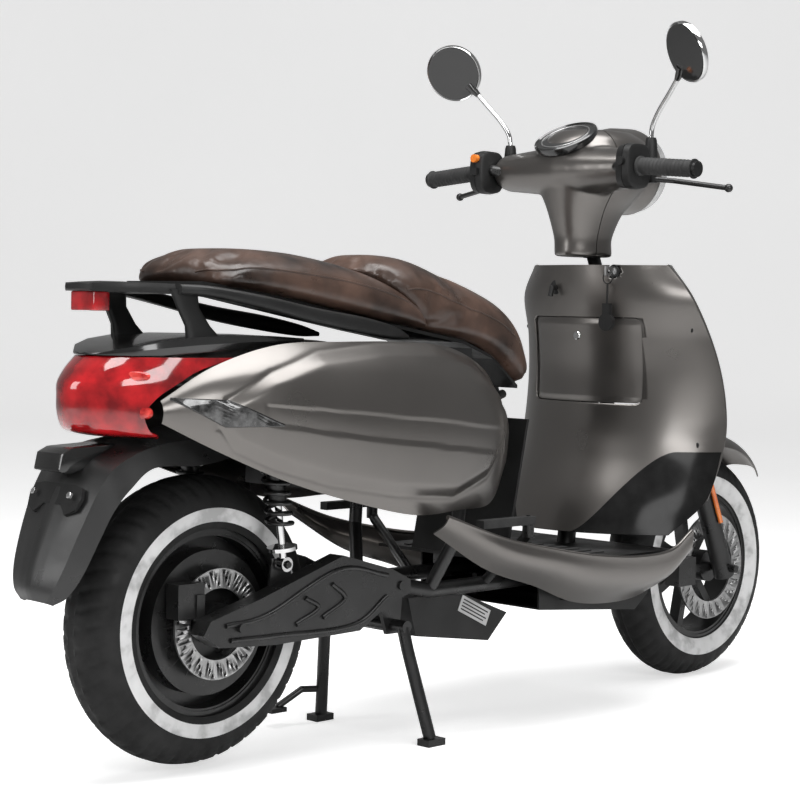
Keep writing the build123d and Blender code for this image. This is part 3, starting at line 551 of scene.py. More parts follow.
# Each level: z, the rim's x and half-width, and x at the centre of the inner and front faces.
SHIELD = [
    (850, 1040, 165, 962, 1150), (788, 1061, 209, 967, 1178), (708, 1101, 226, 977, 1203),
    (628, 1123, 239, 984, 1216), (547, 1128, 247, 978, 1210), (482, 1118, 245, 955, 1185),
    (400, 1075, 245, 915, 1120), (335, 1000, 215, 887, 1040),
]


def arc_x(rim, half, centre, y):
    """x at y of the circle through the rim on both sides and the centre."""
    deep = rim - centre
    radius = (deep * deep + half * half) / (2 * deep)
    sign = math.copysign(1, radius)
    return centre + radius - sign * math.sqrt(max(radius * radius - y * y, 0.0))


def shield_grid(column, levels, shift=0.0):
    """The inner (column 3) or front (column 4) face of the leg shield."""
    lines = catmull([Vector((row[1], row[2], row[column])) for row in levels], 90)
    heights = catmull([Vector((row[0], 0, 0)) for row in levels], 90)
    grid = []
    for level, height in zip(lines, heights):
        rim, half, centre = level
        ys = [half * math.sin(math.pi / 2 * (j / 30.0)) for j in range(-30, 31)]
        grid.append([(arc_x(rim, half, centre, y) + shift, y, height.x) for y in ys])
    return grid


SKIN = 3.5
DOOR_HALF, DOOR_LOW, DOOR_HIGH, DOOR_GAP = 134.0, 581.0, 749.0, 1.4
STEER_FOOT = Vector((1321, 0, 220.5))
STEER_UP = Vector((-0.4226, 0, 0.9063))


def box_tool(low, high):
    """A rounded block used as a cutter, in millimetres."""
    outline = [(low[0], low[2]), (high[0], low[2]), (high[0], high[2]), (low[0], high[2])]
    return slab("tool", outline, (high[1] - low[1]) / 2, (high[1] + low[1]) / 2, edge=0)


def inner_panel():
    """The rider's side of the shield, with the glovebox opening and the lock's hole."""
    panel = sheet("legshield_panel", shield_grid(3, SHIELD), -SKIN)
    opening = box_tool((900, -DOOR_HALF, DOOR_LOW), (1075, DOOR_HALF, DOOR_HIGH))
    bevel = opening.modifiers.new("round", "BEVEL")
    bevel.width, bevel.segments = 14 * MM, 4
    baked(opening)
    cut(panel, opening)
    cut(panel, tube("tool", [(950, -85, 838), (1060, -85, 838)], 14, 32))
    return panel


def door_leaf():
    """The glovebox door, on the panel's own curve."""
    low, high = DOOR_LOW + DOOR_GAP, DOOR_HIGH - DOOR_GAP
    wide = DOOR_HALF - DOOR_GAP
    lines = catmull([Vector((row[1], row[2], row[3])) for row in SHIELD], 400)
    heights = catmull([Vector((row[0], 0, 0)) for row in SHIELD], 400)
    picked = [(a, h.x) for a, h in zip(lines, heights) if low <= h.x <= high]
    grid = []
    for i, (level, z) in enumerate(picked):
        corner = 14 - min(14, z - low, high - z)
        reach = wide - 14 + math.sqrt(max(0.0, 14 * 14 - corner * corner))
        crown = 2.5 * eased(min(z - low, high - z), 0, 14)
        grid.append([(arc_x(level[0], level[1], level[2], y) - crown * eased(reach - abs(y), 0, 14),
                      y, z) for y in (reach * (j / 24.0) for j in range(-24, 25))])
    return sheet("glovebox_leaf", grid, -SKIN)


def leg_shield():
    place(inner_panel(), "root", "shield_paint", ["inner_legshield"])
    apron = sheet("front_apron_skin", shield_grid(4, SHIELD[:-1], SKIN + 0.3), -SKIN)
    for low, high, radius in ((130, 470, 152), (-50, 195, 222)):
        ends = [STEER_FOOT + STEER_UP * s for s in (low, high)]
        cut(apron, tube("tool", ends, radius, 64))
    place(apron, "root", "paint", ["front_apron"])
    rim = [Vector((row[1] + 3, row[2] - 2, row[0])) for row in SHIELD[:-1]]
    for name, side in (("shield_rim_left", 1), ("shield_rim_right", -1)):
        line = catmull([Vector((p.x, side * p.y, p.z)) for p in rim], 60)
        place(tube(name, line, 5.0, 12), "root", "paint")
    place(door_leaf(), "glovebox", "paint", ["glovebox_door"])
    barrel = disc("glovebox_lock", (983, 0, 712), (-1, 0, 0), 8.5, 11)
    place(barrel, "glovebox", "chrome")


def shield_x(y, z, column=3):
    """x of the shield's inner face at (y, z)."""
    rows = sorted(SHIELD)
    values = [line_at([(row[0], row[k]) for row in rows], z) for k in (1, 2, column)]
    return arc_x(values[0], values[1], values[2], y)


def screws():
    """Black round-headed screws around the shield's inner face."""
    places = [(206, 727), (221, 505), (150, 815)]
    for i, (y, z) in enumerate(places):
        for side in (1, -1):
            x = shield_x(side * y, z)
            head = disc(f"shield_screw_{i}_{'L' if side > 0 else 'R'}", (x + 2, side * y, z),
                        (-1, -0.45 * side, 0), 6, 5.0, 24, 1.6)
            place(head, "root", "black_plastic")


# ---------------------------------------------------------------- skirts and belly

# Each station: x, then (half-width, z) of the top edge, the crease and the bottom edge.
SKIRT = [
    (385, (215, 408), (204, 393), (180, 378)),
    (520, (226, 362), (224, 334), (182, 306)),
    (650, (236, 334), (232, 300), (182, 266)),
    (760, (241, 316), (234, 272), (178, 228)),
    (880, (243, 306), (233, 258), (172, 215)),
    (975, (245, 312), (235, 266), (172, 224)),
    (1035, (247, 345), (238, 304), (176, 262)),
]


def skirts():
    for name, side in (("side_skirt_left", 1), ("side_skirt_right", -1)):
        stations = [[(x, side * y, z) for y, z in row] for x, *row in SKIRT]
        made = sheet(name, smooth_grid(stations, 140, 26), 3.0 * side)
        place(made, "root", "paint", ["side_skirts"])
        top = catmull([Vector((x, side * (row[0][0] - 2.5), row[0][1] - 1)) for x, *row in SKIRT], 90)
        place(tube(name + "_lip", top, 4.0, 10), "root", "paint")


def footboard_mat():
    """Raised ribs of the black rubber mat along the deck."""
    for i in range(11):
        y = -150 + 30 * i
        rib = slab(f"mat_rib_{i:02d}", [(660, 305), (880, 305), (880, 308.4), (660, 308.4)],
                   7.0, y, edge=1.2)
        place(rib, "root", "rubber")


# ---------------------------------------------------------------- seat

# Each section: the crown's (x, z), the seat's bottom (x, z), the half-width and the crown's power.
PILLION = [
    ((-66, 806), (-52, 797), 34, 3.0), ((-62, 820), (-48, 793), 70, 3.0),
    ((-44, 832), (-36, 789), 100, 3.2), ((0, 839), (0, 785), 122, 3.2),
    ((60, 841), (60, 779), 129, 3.2), ((140, 838), (140, 767), 131, 3.2),
    ((220, 832), (230, 752), 131, 3.2), ((300, 818), (310, 738), 131, 3.2),
    ((366, 796), (372, 729), 130, 3.2), ((404, 768), (408, 724), 128, 3.2),
    ((424, 738), (424, 721), 124, 3.0),
]
RIDER = [
    ((306, 826), (427, 722), 124, 3.0), ((330, 838), (434, 721), 128, 3.0),
    ((368, 842), (448, 719), 129, 3.0), ((420, 837), (474, 715), 129, 3.0),
    ((500, 814), (510, 709), 129, 2.9), ((590, 794), (560, 699), 129, 2.6),
    ((652, 774), (600, 685), 128, 2.4), ((694, 744), (634, 665), 126, 2.3),
    ((717, 704), (664, 642), 120, 2.2), ((724, 664), (686, 627), 108, 2.2),
    ((718, 636), (694, 627), 84, 2.2),
]


def cushion_ring(crown, foot, half, power, count=44):
    """One section of a cushion: a dome over a flat bottom, leaning from foot to crown."""
    crown, foot = Vector((crown[0], 0, crown[1])), Vector((foot[0], 0, foot[1]))
    ring = []
    for i in range(count + 1):
        y = half * math.sin(math.pi * (i / count - 0.5))
        rise = (1 - (abs(y) / half) ** power) ** (1 / power) if abs(y) < half else 0.0
        ring.append(foot + (crown - foot) * (0.16 + 0.84 * rise) + Vector((0, y, 0)))
    for i in range(1, 12):
        y = half * (1 - 2 * i / 12) * 0.985
        ring.append(foot + Vector((0, y, 0)))
    return ring


def cushion(name, sections):
    """A cushion through its sections, before it is filled."""
    rings = [cushion_ring(*section) for section in sections]
    lines = [catmull([ring[j] for ring in rings], 70) for j in range(len(rings[0]))]
    made = closed_loft(name, [[line[i] for line in lines] for i in range(70)])
    return made


CUSHION_CAP = 9.0


def plumped(obj, pinned_low):
    """Fills a cushion by cloth simulation; points below pinned_low(x) hold their place."""
    obj = remeshed(obj, 5.5)
    rest = [v.co.copy() for v in obj.data.vertices]
    pins = obj.vertex_groups.new(name="pins")
    for v in obj.data.vertices:
        if pinned_low((v.co.x - OX) / MM) > v.co.z / MM:
            pins.add([v.index], 1.0, "ADD")
    cloth = obj.modifiers.new("fill", "CLOTH")
    cloth.settings.use_pressure = True
    cloth.settings.uniform_pressure_force = 4.0
    cloth.settings.effector_weights.gravity = 0.0
    cloth.settings.vertex_group_mass = "pins"
    cloth.settings.quality = 4
    cloth.collision_settings.use_collision = False
    scene = bpy.context.scene
    for step in range(1, 21):
        scene.frame_set(step)
    obj = baked(obj)
    scene.frame_set(1)
    for v, home in zip(obj.data.vertices, rest):
        shift = v.co - home
        if shift.length > CUSHION_CAP * MM:
            v.co = home + shift.normalized() * CUSHION_CAP * MM
    return obj


def soften(obj, rounds=6, levels=1):
    soft = obj.modifiers.new("soft", "SMOOTH")
    soft.factor, soft.iterations = 0.5, rounds
    if levels:
        finer = obj.modifiers.new("finer", "SUBSURF")
        finer.levels = finer.render_levels = levels
    return baked(obj)


SEAT_FOOT = [(-80, 797), (0, 785), (140, 767), (230, 752), (310, 738), (424, 721), (474, 715),
             (510, 709), (560, 699), (600, 685), (634, 665), (664, 642), (686, 627), (720, 620)]


def on_pad(pad, point):
    """The nearest point of a cushion's surface, in millimetres of the part's own frame."""
    near = pad.closest_point_on_mesh(at(*point))[1]
    return Vector(((near.x - OX) / MM, near.y / MM, near.z / MM))


def seams(name, pad, sections):
    """Piping along both shoulders of a cushion, laid on its finished surface."""
    for label, share in (("left", 0.95), ("right", -0.95)):
        line = []
        for crown, foot, half, power in sections[1:-1]:
            crown, foot = Vector((crown[0], 0, crown[1])), Vector((foot[0], 0, foot[1]))
            rise = 0.16 + 0.84 * (1 - abs(share) ** power) ** (1 / power)
            line.append(foot + (crown - foot) * rise + Vector((0, half * share, 0)))
        line = [on_pad(pad, p) for p in catmull(line, 60)]
        place(tube(f"{name}_seam_{label}", line, 1.7, 8), "seat", "leather")


def seat():
    for name, node_name, sections in (
        ("pillion_cushion", "seat_pillion_cushion", PILLION),
        ("rider_cushion", "seat_rider_cushion", RIDER),
    ):
        pad = cushion(name, sections)
        pad = soften(plumped(pad, lambda x: line_at(SEAT_FOOT, x) + 6.0), 4, 1)
        for face in pad.data.polygons:
            face.use_smooth = True
        place(pad, "seat", "leather", [node_name])
        seams(name, pad, sections)


# ---------------------------------------------------------------- tail


def rail_plate(name, rows):
    """A plate whose half-width changes along x: rows of (x, half-width, low z, high z)."""
    stations = []
    for x, half, low, high in rows:
        stations.append([(x, -half, (low + high) / 2), (x, -half * 0.96, high), (x, 0, high + 1.5),
                         (x, half * 0.96, high), (x, half, (low + high) / 2),
                         (x, half * 0.96, low), (x, 0, low), (x, -half * 0.96, low)])
    return closed_loft(name, stations)


def grab_rail():
    """The rear rail: a deck that widens forward, two blades beside the seat and two legs."""
    deck = rail_plate("grab_rail_deck", [
        (-232, 30, 778, 786), (-228, 37, 775, 788), (-190, 42, 775, 790), (-150, 62, 775, 790),
        (-112, 92, 774, 789), (-84, 108, 773, 788), (-74, 112, 774, 787)])
    place(deck, "root", "black_plastic", ["grab_rail"])
    blade = [(-112, 96, 781, 11, 8), (-60, 112, 778, 12, 9), (40, 126, 763, 9, 11),
             (150, 130, 743, 8, 13), (260, 129, 728, 7, 14), (340, 122, 716, 6, 11),
             (382, 112, 709, 4, 4)]
    for name, side in (("left", 1), ("right", -1)):
        centres = catmull([Vector((x, side * y, z)) for x, y, z, _, _ in blade], 60)
        sizes = catmull([Vector((a, b, 0)) for *_, a, b in blade], 60)
        rings = [oval(c, (0, 1, 0), (0, 0, 1), s.x, s.y, 20, 2.6) for c, s in zip(centres, sizes)]
        place(closed_loft("grab_blade_" + name, rings), "root", "black_plastic")
        leg = [((-96, 90, 780), 26, 8), ((-88, 92, 752), 21, 7), ((-70, 94, 724), 24, 7),
               ((-58, 95, 704), 34, 9)]
        rings = [oval((p[0], side * p[1], p[2]), (1, 0, 0), (0, 1, 0), a, b, 20, 3.0)
                 for p, a, b in leg]
        place(closed_loft("grab_leg_" + name, rings), "root", "black_plastic")
    lamp = slab("rail_reflector", [(-222, 745), (-192, 745), (-192, 775), (-222, 775)], 30, edge=2.5)
    place(lamp, "root", "red_lens")


# Each level of the tail lens: z, x of its rearmost point, x where it meets the side cover.
LENS = [(549, -176, -137), (553, -212, -146), (562, -240, -162), (588, -251, -171),
        (614, -252, -152), (634, -251, -122), (655, -236, -85), (668, -222, -40), (675, -214, -12)]
LENS_CENTRE, LENS_HALF = -25.0, 123.0


def lens_grid(inset=0.0):
    """The tail lens, level by level, each an arc of an ellipse in plan."""
    levels = catmull([Vector(row) for row in LENS], 26)
    grid = []
    for z, rear, side in levels:
        reach = LENS_CENTRE - rear - inset
        stop = math.acos(max(-1.0, min(1.0, (LENS_CENTRE - side) / reach)))
        turns = [stop * j / 36 for j in range(-36, 37)]
        grid.append([(LENS_CENTRE - reach * math.cos(t), (LENS_HALF - inset) * math.sin(t), z)
                     for t in turns])
    return grid


def tail():
    """The red tail lens with its two inner reflectors, and the black cover above it."""
    lens = sheet("tail_lens", lens_grid(), 3.0)
    place(lens, "root", "red_lens", ["tail_light"])
    for name, side in (("left", 1), ("right", -1)):
        for row, (z, height) in enumerate(((646, 9), (590, 13))):
            middle = Vector((-188 + 6 * row, side * 62, z))
            rings = [oval(middle + Vector((-30, side * 18, 0)).normalized() * h, (0.5, side * 0.86, 0),
                          (0, 0, 1), a, b, 28, 2.6)
                     for h, a, b in ((0, 44, height), (9, 42, height - 2), (11, 30, height - 5))]
            # The reflectors get their painted highlight from the brighter red finish.
            place(closed_loft(f"tail_reflector_{name}_{row}", rings), "root", "red_painted_glint")
    hood = rail_plate("tail_hood", [
        (-216, 14, 677, 679), (-206, 44, 677, 683), (-180, 78, 677, 691), (-140, 100, 678, 700),
        (-80, 114, 682, 707), (0, 119, 688, 710), (80, 119, 694, 709), (140, 116, 698, 706)])
    place(hood, "root", "black_gloss", ["tail_cover"])


def on_cover(x, z, side, proud):
    """A point standing proud of a side cover."""
    y = cover_y(x, z) + cover_relief(x, z) + proud
    return Vector((x, side * y, z))


SIGNAL = [(-138, 612), (-55, 609), (38, 570), (-58, 570)]


def signals():
    """The smoked rear turn signals, each ringed by a thin frame and set in the side cover."""
    for name, side in (("left", 1), ("right", -1)):
        a, b, c, d = [Vector((x, 0, z)) for x, z in SIGNAL]
        grid = []
        for i in range(25):
            low, high = d.lerp(c, i / 24), a.lerp(b, i / 24)
            row = [low.lerp(high, j / 8) for j in range(9)]
            grid.append([on_cover(p.x, p.z, side, 4.0) for p in row])
        extra = {"replaces": ["turn_signals"]} if side > 0 else {}
        place(sheet("signal_lens_" + name, grid, 3.0 * side), "root", "smoked_lens", **extra)
        edge = [a, b, c, d, a]
        line = [on_cover(p.x, p.z, side, 4.0)
                for p, q in zip(edge, edge[1:]) for p in (p.lerp(q, t / 8) for t in range(8))]
        place(tube("signal_frame_" + name, line + line[:1], 2.2, 8), "root", "black_gloss")


def trim_inserts():
    """The rounded insert in each cover's sunk band, with a row of short stitches below it."""
    start, end, half = Vector((134, 0, 571)), Vector((462, 0, 523)), 13.0
    along = (end - start).normalized()
    up = Vector((-along.z, 0, along.x))
    for name, side in (("left", 1), ("right", -1)):
        line = []
        for middle, first in ((end, 90), (start, 270)):
            for i in range(13):
                a = math.radians(first - 180 * i / 12)
                p = middle + along * half * math.cos(a) + up * half * math.sin(a)
                line.append(on_cover(p.x, p.z, side, 0.4))
        far = Vector(line[12])
        steps = [far.lerp(Vector(line[13]), t / 20) for t in range(1, 20)]
        low = [on_cover(q.x, q.z, side, 0.4) for q in steps]
        close = [Vector(line[-1]).lerp(Vector(line[0]), t / 20) for t in range(1, 21)]
        high = [on_cover(q.x, q.z, side, 0.4) for q in close]
        ring = line[:13] + low + line[13:] + high
        place(tube("trim_line_" + name, ring, 1.6, 6), "root", "black_plastic")
        for i in range(17):
            p = start.lerp(end, (i + 0.5) / 17) - up * 20
            q = p + along * 11
            dash = [on_cover(p.x, p.z, side, 0.3), on_cover(q.x, q.z, side, 0.3)]
            place(tube(f"trim_stitch_{name}_{i:02d}", dash, 1.3, 6), "root", "black_plastic")


def battery_label():
    """A blank silver plate with plain bars on the battery case."""
    along = Vector((0.907, 0, -0.421)).normalized()
    up = Vector((0.421, 0, 0.907)).normalized()
    middle = Vector((600, -82, 213))
    face = plate_on("battery_plate", middle, along, up,
                    [(-42, -15), (42, -15), (42, 15), (-42, 15)], 1.2)
    place(face, "root", "plate_silver")
    for i in range(4):
        spot = middle + Vector((0, -1.0, 0)) + up * (9 - 6 * i)
        reach = 36 - 6 * (i % 2)
        bar = plate_on(f"battery_plate_bar_{i}", spot, along, up,
                       [(-36, -1.2), (reach, -1.2), (reach, 1.2), (-36, 1.2)], 0.5)
        place(bar, "root", "black_plastic")


def swingarm_ribs():
    """Raised cast ribs on both faces of the swingarm."""
    rails = [[(-30, 252), (60, 262), (215, 322), (330, 304)],
             [(-20, 228), (80, 226), (250, 226), (330, 268)],
             [(120, 240), (170, 262), (140, 282)], [(180, 246), (230, 272), (200, 300)]]
    for name, y in (("left", 127), ("right", -127)):
        for i, rail in enumerate(rails):
            line = catmull([Vector((x, y, z)) for x, z in rail], 30)
            place(tube(f"arm_rib_{name}_{i}", line, 4.0, 10), "rear_arm", "frame_black")


def fender_section(edge, crown):
    """Across the rear fender: flange, shoulder, ridge, shoulder, flange."""
    (x, w, z), (cx, cz) = edge, crown
    shoulder = (x + 0.72 * (cx - x), 0.9 * w, z + 0.72 * (cz - z))
    facet = (x + 0.9 * (cx - x), 0.45 * w, z + 0.9 * (cz - z))
    half = [(x, w, z), shoulder, facet]
    mirrored = [(px, -py, pz) for px, py, pz in reversed(half)]
    return half + [(cx, 5, cz), (cx, -5, cz)] + mirrored


FENDER = [
    ((20, 88, 515), (40, 562)), ((-60, 92, 505), (-60, 562)), ((-150, 95, 505), (-150, 548)),
    ((-197, 95, 474), (-222, 524)), ((-226, 92, 441), (-252, 492)), ((-246, 84, 398), (-283, 430)),
    ((-268, 72, 345), (-308, 365)), ((-284, 56, 312), (-317, 325)), ((-296, 36, 298), (-312, 304)),
]


def rear_fender():
    """The black rear mudguard with its folded sides, plate lamp and plate bracket."""
    rows = [fender_section(*row) for row in FENDER]
    lines = [catmull([Vector(row[j]) for row in rows], 80) for j in range(8)]
    grid = []
    for i in range(80):
        row = [line[i] for line in lines]
        finer = []
        for a, b in zip(row, row[1:]):
            finer += [a.lerp(b, t / 4) for t in range(4)]
        grid.append(finer + [row[-1]])
    place(sheet("rear_mudguard", grid, 3.0), "root", "fender_black",
          ["rear_fender"])
    lamp = [(-286, 500), (-280, 528), (-262, 536), (-180, 540), (-180, 520), (-262, 496)]
    place(slab("plate_lamp", lamp, 34, edge=4.0), "root", "black_gloss")
    down = (Vector((-252, 0, 492)) - Vector((-300, 0, 392))).normalized()
    out = Vector((-down.z, 0, down.x))
    outline = [(-66, 0), (-60, 16), (-40, 20), (40, 20), (60, 16), (66, 0), (60, -20), (40, -30),
               (22, -14), (-22, -14), (-40, -30), (-60, -20)]
    plate = plate_on("plate_bracket", Vector((-268, 0, 462)), Vector((0, 1, 0)), down, outline, 6)
    for side in (1, -1):
        spot = Vector((-268, side * 46, 462))
        slot_tool = plate_on("tool", spot - out * 20, Vector((0, 1, 0)), down,
                             [(-12, -4), (12, -4), (12, 4), (-12, 4)], 50)
        cut(plate, slot_tool)
        bolt = disc(f"plate_bolt_{'L' if side > 0 else 'R'}", spot + out * 5, out, 5.5, 6, 6, 0.8)
        place(bolt, "root", "steel")
    place(plate, "root", "black_plastic")


def plate_on(name, origin, across, up, outline, thick):
    """A flat plate: outline is (across, up) points about origin; it grows along their normal."""
    normal = across.cross(up).normalized()
    rings = [[origin + across * u + up * v + normal * h for u, v in outline] for h in (0, thick)]
    return closed_loft(name, rings)


# ---------------------------------------------------------------- handlebar

HEAD = [
    (866, 988, 65, 47), (882, 987, 64, 47), (905, 986, 64, 49), (955, 992, 84, 64),
    (1000, 1010, 114, 90), (1050, 1018, 132, 101), (1090, 1018, 112, 88), (1112, 1012, 76, 62),
]
HEAD_SPLIT = 972.0


def head_solid():
    """The handlebar cover as one skin: neck and bulb, with an arm to each side."""
    rings = []
    rows = catmull([Vector((z, x, length)) for z, x, length, _ in HEAD], 40)
    halves = catmull([Vector((half, 0, 0)) for *_, half in HEAD], 40)
    for row, half in zip(rows, halves):
        rings.append(oval((row.y, 0, row.x), (1, 0, 0), (0, 1, 0), row.z, half.x, 48, 2.2))
    bulb = closed_loft("bulb", rings)
    arm_rows = [(-163, 50, 36), (-120, 55, 40), (-60, 62, 46), (0, 66, 50), (60, 62, 46),
                (120, 55, 40), (163, 50, 36)]
    arms = closed_loft("arms", [oval((948, y, 1032), (1, 0, 0), (0, 0, 1), a, b, 40)
                                for y, a, b in arm_rows])
    bucket = closed_loft("bucket", [oval((x, 0, 1040), (0, 1, 0), (0, 0, 1), r, r, 48)
                                    for x, r in ((1020, 74), (1060, 84), (1120, 87), (1128, 84))])
    return remeshed(joined("head", [bulb, arms, bucket]), 4.0, 14)


def half_of(obj, name, keep_front):
    """The front or rear part of a closed mesh, cut at the head's seam and closed there."""
    mesh = bmesh.new()
    mesh.from_mesh(obj.data)
    seam = at(HEAD_SPLIT + (1.0 if keep_front else -1.0), 0, 0)
    done = bmesh.ops.bisect_plane(mesh, geom=mesh.verts[:] + mesh.edges[:] + mesh.faces[:],
                                  plane_co=seam, plane_no=(1, 0, 0),
                                  clear_inner=keep_front, clear_outer=not keep_front)
    rim = [e for e in done["geom_cut"] if isinstance(e, bmesh.types.BMEdge)]
    bmesh.ops.holes_fill(mesh, edges=rim)
    return new_object(name, mesh)


def handlebar_cover():
    whole = head_solid()
    place(half_of(whole, "head_cover_rear", False), "steering", "paint",
          ["handlebar_rear_cover"])
    place(half_of(whole, "head_cover_front", True), "steering", "paint",
          ["handlebar_front_cover"])
    bpy.data.objects.remove(whole)
    tilt = Vector((-0.52, 0, 0.854))
    centre = Vector((929, 0, 1091))
    side = Vector((0, 1, 0))
    back = side.cross(tilt)
    bezel = [oval(centre + tilt * h, side, back, r, r * 0.92, 64)
             for h, r in ((-6, 62), (4, 66), (8, 65), (9.5, 62), (7, 59), (7, 40), (7, 2))]
    place(closed_loft("display_face", bezel), "steering", "black_gloss",
          ["instrument_display"])
    ring = []
    for i in range(65):
        a = 2 * math.pi * i / 64
        ring.append(centre + tilt * 7.5 + side * 50 * math.cos(a) + back * 45 * math.sin(a))
    place(tube("display_ring", ring, 1.3, 8), "steering", "steel")


def housings():
    """The switch blocks beside the grips, rounded, with a split line."""
    for name, side in (("switch_block_left", 1), ("switch_block_right", -1)):
        rings = [oval((904, side * y, 1032), (1, 0, 0), (0, 0, 1), a, b, 40, 3.2)
                 for y, a, b in ((166, 30, 36), (169, 34, 41), (183, 36, 43), (184, 34, 41),
                                 (185, 36, 43), (198, 35, 41), (201, 30, 36))]
        extra = {"replaces": ["switch_housings"]} if side > 0 else {}
        place(closed_loft(name, rings), "steering", "black_plastic", **extra)
        perch = [oval((x, side * 184, 1018), (0, 1, 0), (0, 0, 1), a, b, 24, 2.6)
                 for x, a, b in ((930, 15, 18), (945, 15, 15), (962, 13, 11), (968, 9, 8))]
        place(closed_loft("lever_perch_" + name[13:], perch), "steering", "black_plastic")
        boot = [(966, side * 177, z) for z in (1050, 1058, 1072, 1084, 1090)]
        place(tube("mirror_boss_" + name[13:], boot, 12, 24, [13, 13, 12, 11, 9]), "steering",
              "black_plastic")


def grip(name, side, body, replaced):
    """A rubber grip with moulded rings and a bar end."""
    path, radii = [], []
    for i in range(61):
        t = i / 60
        path.append(Vector((900, side * (203 + 125 * t), 1032 - 10 * t)))
        ring = 0.9 if (i % 4) in (0, 1) and 6 < i < 56 else 0.0
        radii.append(15.4 + ring + (3.0 if i < 3 or i > 58 else 0.0))
    place(tube(name, path, 15, 32, radii), body, "rubber", [replaced])


def mirrors():
    """Round mirrors on bent stems, each a chrome dish with dark glass."""
    for name, side in (("left", 1), ("right", -1)):
        normal = Vector((-0.86, -0.34 * side, -0.38)).normalized()
        centre = Vector((919, side * 292, 1239))
        across = normal.cross(Vector((0, 0, 1))).normalized()
        up = across.cross(normal)
        shell = [oval(centre - normal * h, across, up, r, r, 56)
                 for h, r in ((-7, 54), (-8, 56.5), (-5, 58), (3, 57), (10, 47), (15, 30), (17, 8))]
        place(closed_loft("mirror_shell_" + name, shell), f"{name}_mirror", "chrome",
              ["mirror_head_" + name])
        glass = [oval(centre + normal * h, across, up, r, r, 56)
                 for h, r in ((6, 54.4), (8.4, 54.0), (8.6, 40), (8.6, 2))]
        place(closed_loft("mirror_face_" + name, glass), f"{name}_mirror", "mirror_glass")
        bend = [Vector((966, side * 177, 1088)), Vector((964, side * 181, 1112)),
                Vector((959, side * 200, 1140)), Vector((952, side * 228, 1170)),
                Vector((946, side * 249, 1193))]
        place(tube("mirror_rod_" + name, catmull(bend, 30), 4.6, 14), f"{name}_stem", "chrome",
              ["mirror_stem_" + name])
        cone = [Vector((946, side * 249, 1193)), Vector((941, side * 259, 1204)),
                Vector((936, side * 266, 1214))]
        place(tube("mirror_collar_" + name, cone, 8, 16, [5.5, 8.5, 10]), f"{name}_stem",
              "black_gloss")


# ---------------------------------------------------------------- front mudguard

GUARD_RADIUS, GUARD_HALF = 266.0, 72.0
GUARD_CENTRE = Vector((1356, 0, 246))
GUARD_FROM, GUARD_TO = 45.0, 142.0


def front_guard():
    """The painted front mudguard: a rounded arch that narrows towards both ends."""
    grid = []
    for i in range(61):
        t = i / 60
        a = math.radians(GUARD_FROM + (GUARD_TO - GUARD_FROM) * t)
        wide = GUARD_HALF * (0.55 + 0.45 * math.sin(math.pi * min(1.0, t * 1.25 + 0.12)) ** 0.6)
        wide = max(wide, GUARD_HALF * 0.5)
        row = []
        for j in range(29):
            s = 2 * j / 28 - 1
            drop = 30 * abs(s) ** 3.2
            r = GUARD_RADIUS - 1.0 - drop
            row.append((GUARD_CENTRE.x + r * math.cos(a), wide * s, GUARD_CENTRE.z + r * math.sin(a)))
        grid.append(row)
    place(sheet("front_mudguard", grid, -2.6), "fork", "paint", ["front_fender"])


# ---------------------------------------------------------------- wheels


def tyre(name, centre_x, centre_z, radius, half, bead, body, finish, replaced, blocks=46):
    """A tyre turned about its axle, with slanted grooves cut in its tread."""
    around, across = 276, 34
    mesh = bmesh.new()
    rings = []
    for i in range(around):
        a = 2 * math.pi * i / around
        ring = []
        for j in range(across + 1):
            s = 2 * j / across - 1
            turn = s * 2.25
            y = half * math.sin(turn) / math.sin(1.57) if abs(turn) <= 1.57 else \
                math.copysign(half * math.sin(abs(turn)), s)
            r = radius - half * 1.02 * (1 - math.cos(turn))
            wave = (blocks * i / around + 1.6 * abs(s) + (0.5 if s > 0 else 0)) % 1.0
            groove = 3.4 if wave < 0.2 and 0.10 < abs(s) < 0.44 else 0.0
            groove = 3.0 if abs(s) < 0.035 else groove
            r = max(r - groove, bead)
            ring.append(mesh.verts.new(at(centre_x + r * math.cos(a), y, centre_z + r * math.sin(a))))
        inner = mesh.verts.new(at(centre_x + (bead - 4) * math.cos(a), 0,
                                  centre_z + (bead - 4) * math.sin(a)))
        rings.append(ring + [inner])
    for low, high in zip(rings, rings[1:] + rings[:1]):
        for j in range(len(low)):
            k = (j + 1) % len(low)
            mesh.faces.new((low[j], low[k], high[k], high[j]))
    bmesh.ops.recalc_face_normals(mesh, faces=mesh.faces)
    place(new_object(name, mesh), body, finish, [replaced])


def drilled_disc(name, centre_x, centre_z, y, outer, inner, body, replaced, holes=20):
    """A brake disc with three slanting rows of holes."""
    rings = []
    for h, r in ((0, inner), (0, outer), (4, outer), (4, inner)):
        rings.append([(centre_x + r * math.cos(a), y + h, centre_z + r * math.sin(a))
                      for a in (2 * math.pi * i / 96 for i in range(96))])
    mesh = bmesh.new()
    rows = fill_grid(mesh, rings, wrap=True)
    for j in range(96):
        k = (j + 1) % 96
        mesh.faces.new((rows[-1][j], rows[-1][k], rows[0][k], rows[0][j]))
    bmesh.ops.recalc_face_normals(mesh, faces=mesh.faces)
    made = new_object(name, mesh)
    tools = []
    for i in range(holes):
        for row in range(3):
            a = 2 * math.pi * (i + 0.3 * row) / holes
            r = inner + (outer - inner) * (0.25 + 0.27 * row)
            x, z = centre_x + r * math.cos(a), centre_z + r * math.sin(a)
            tools.append(tube("tool", [(x, y - 3, z), (x, y + 7, z)], 2.7, 10))
    cut(made, joined("tool", tools))
    place(made, body, "disc_steel", [replaced])


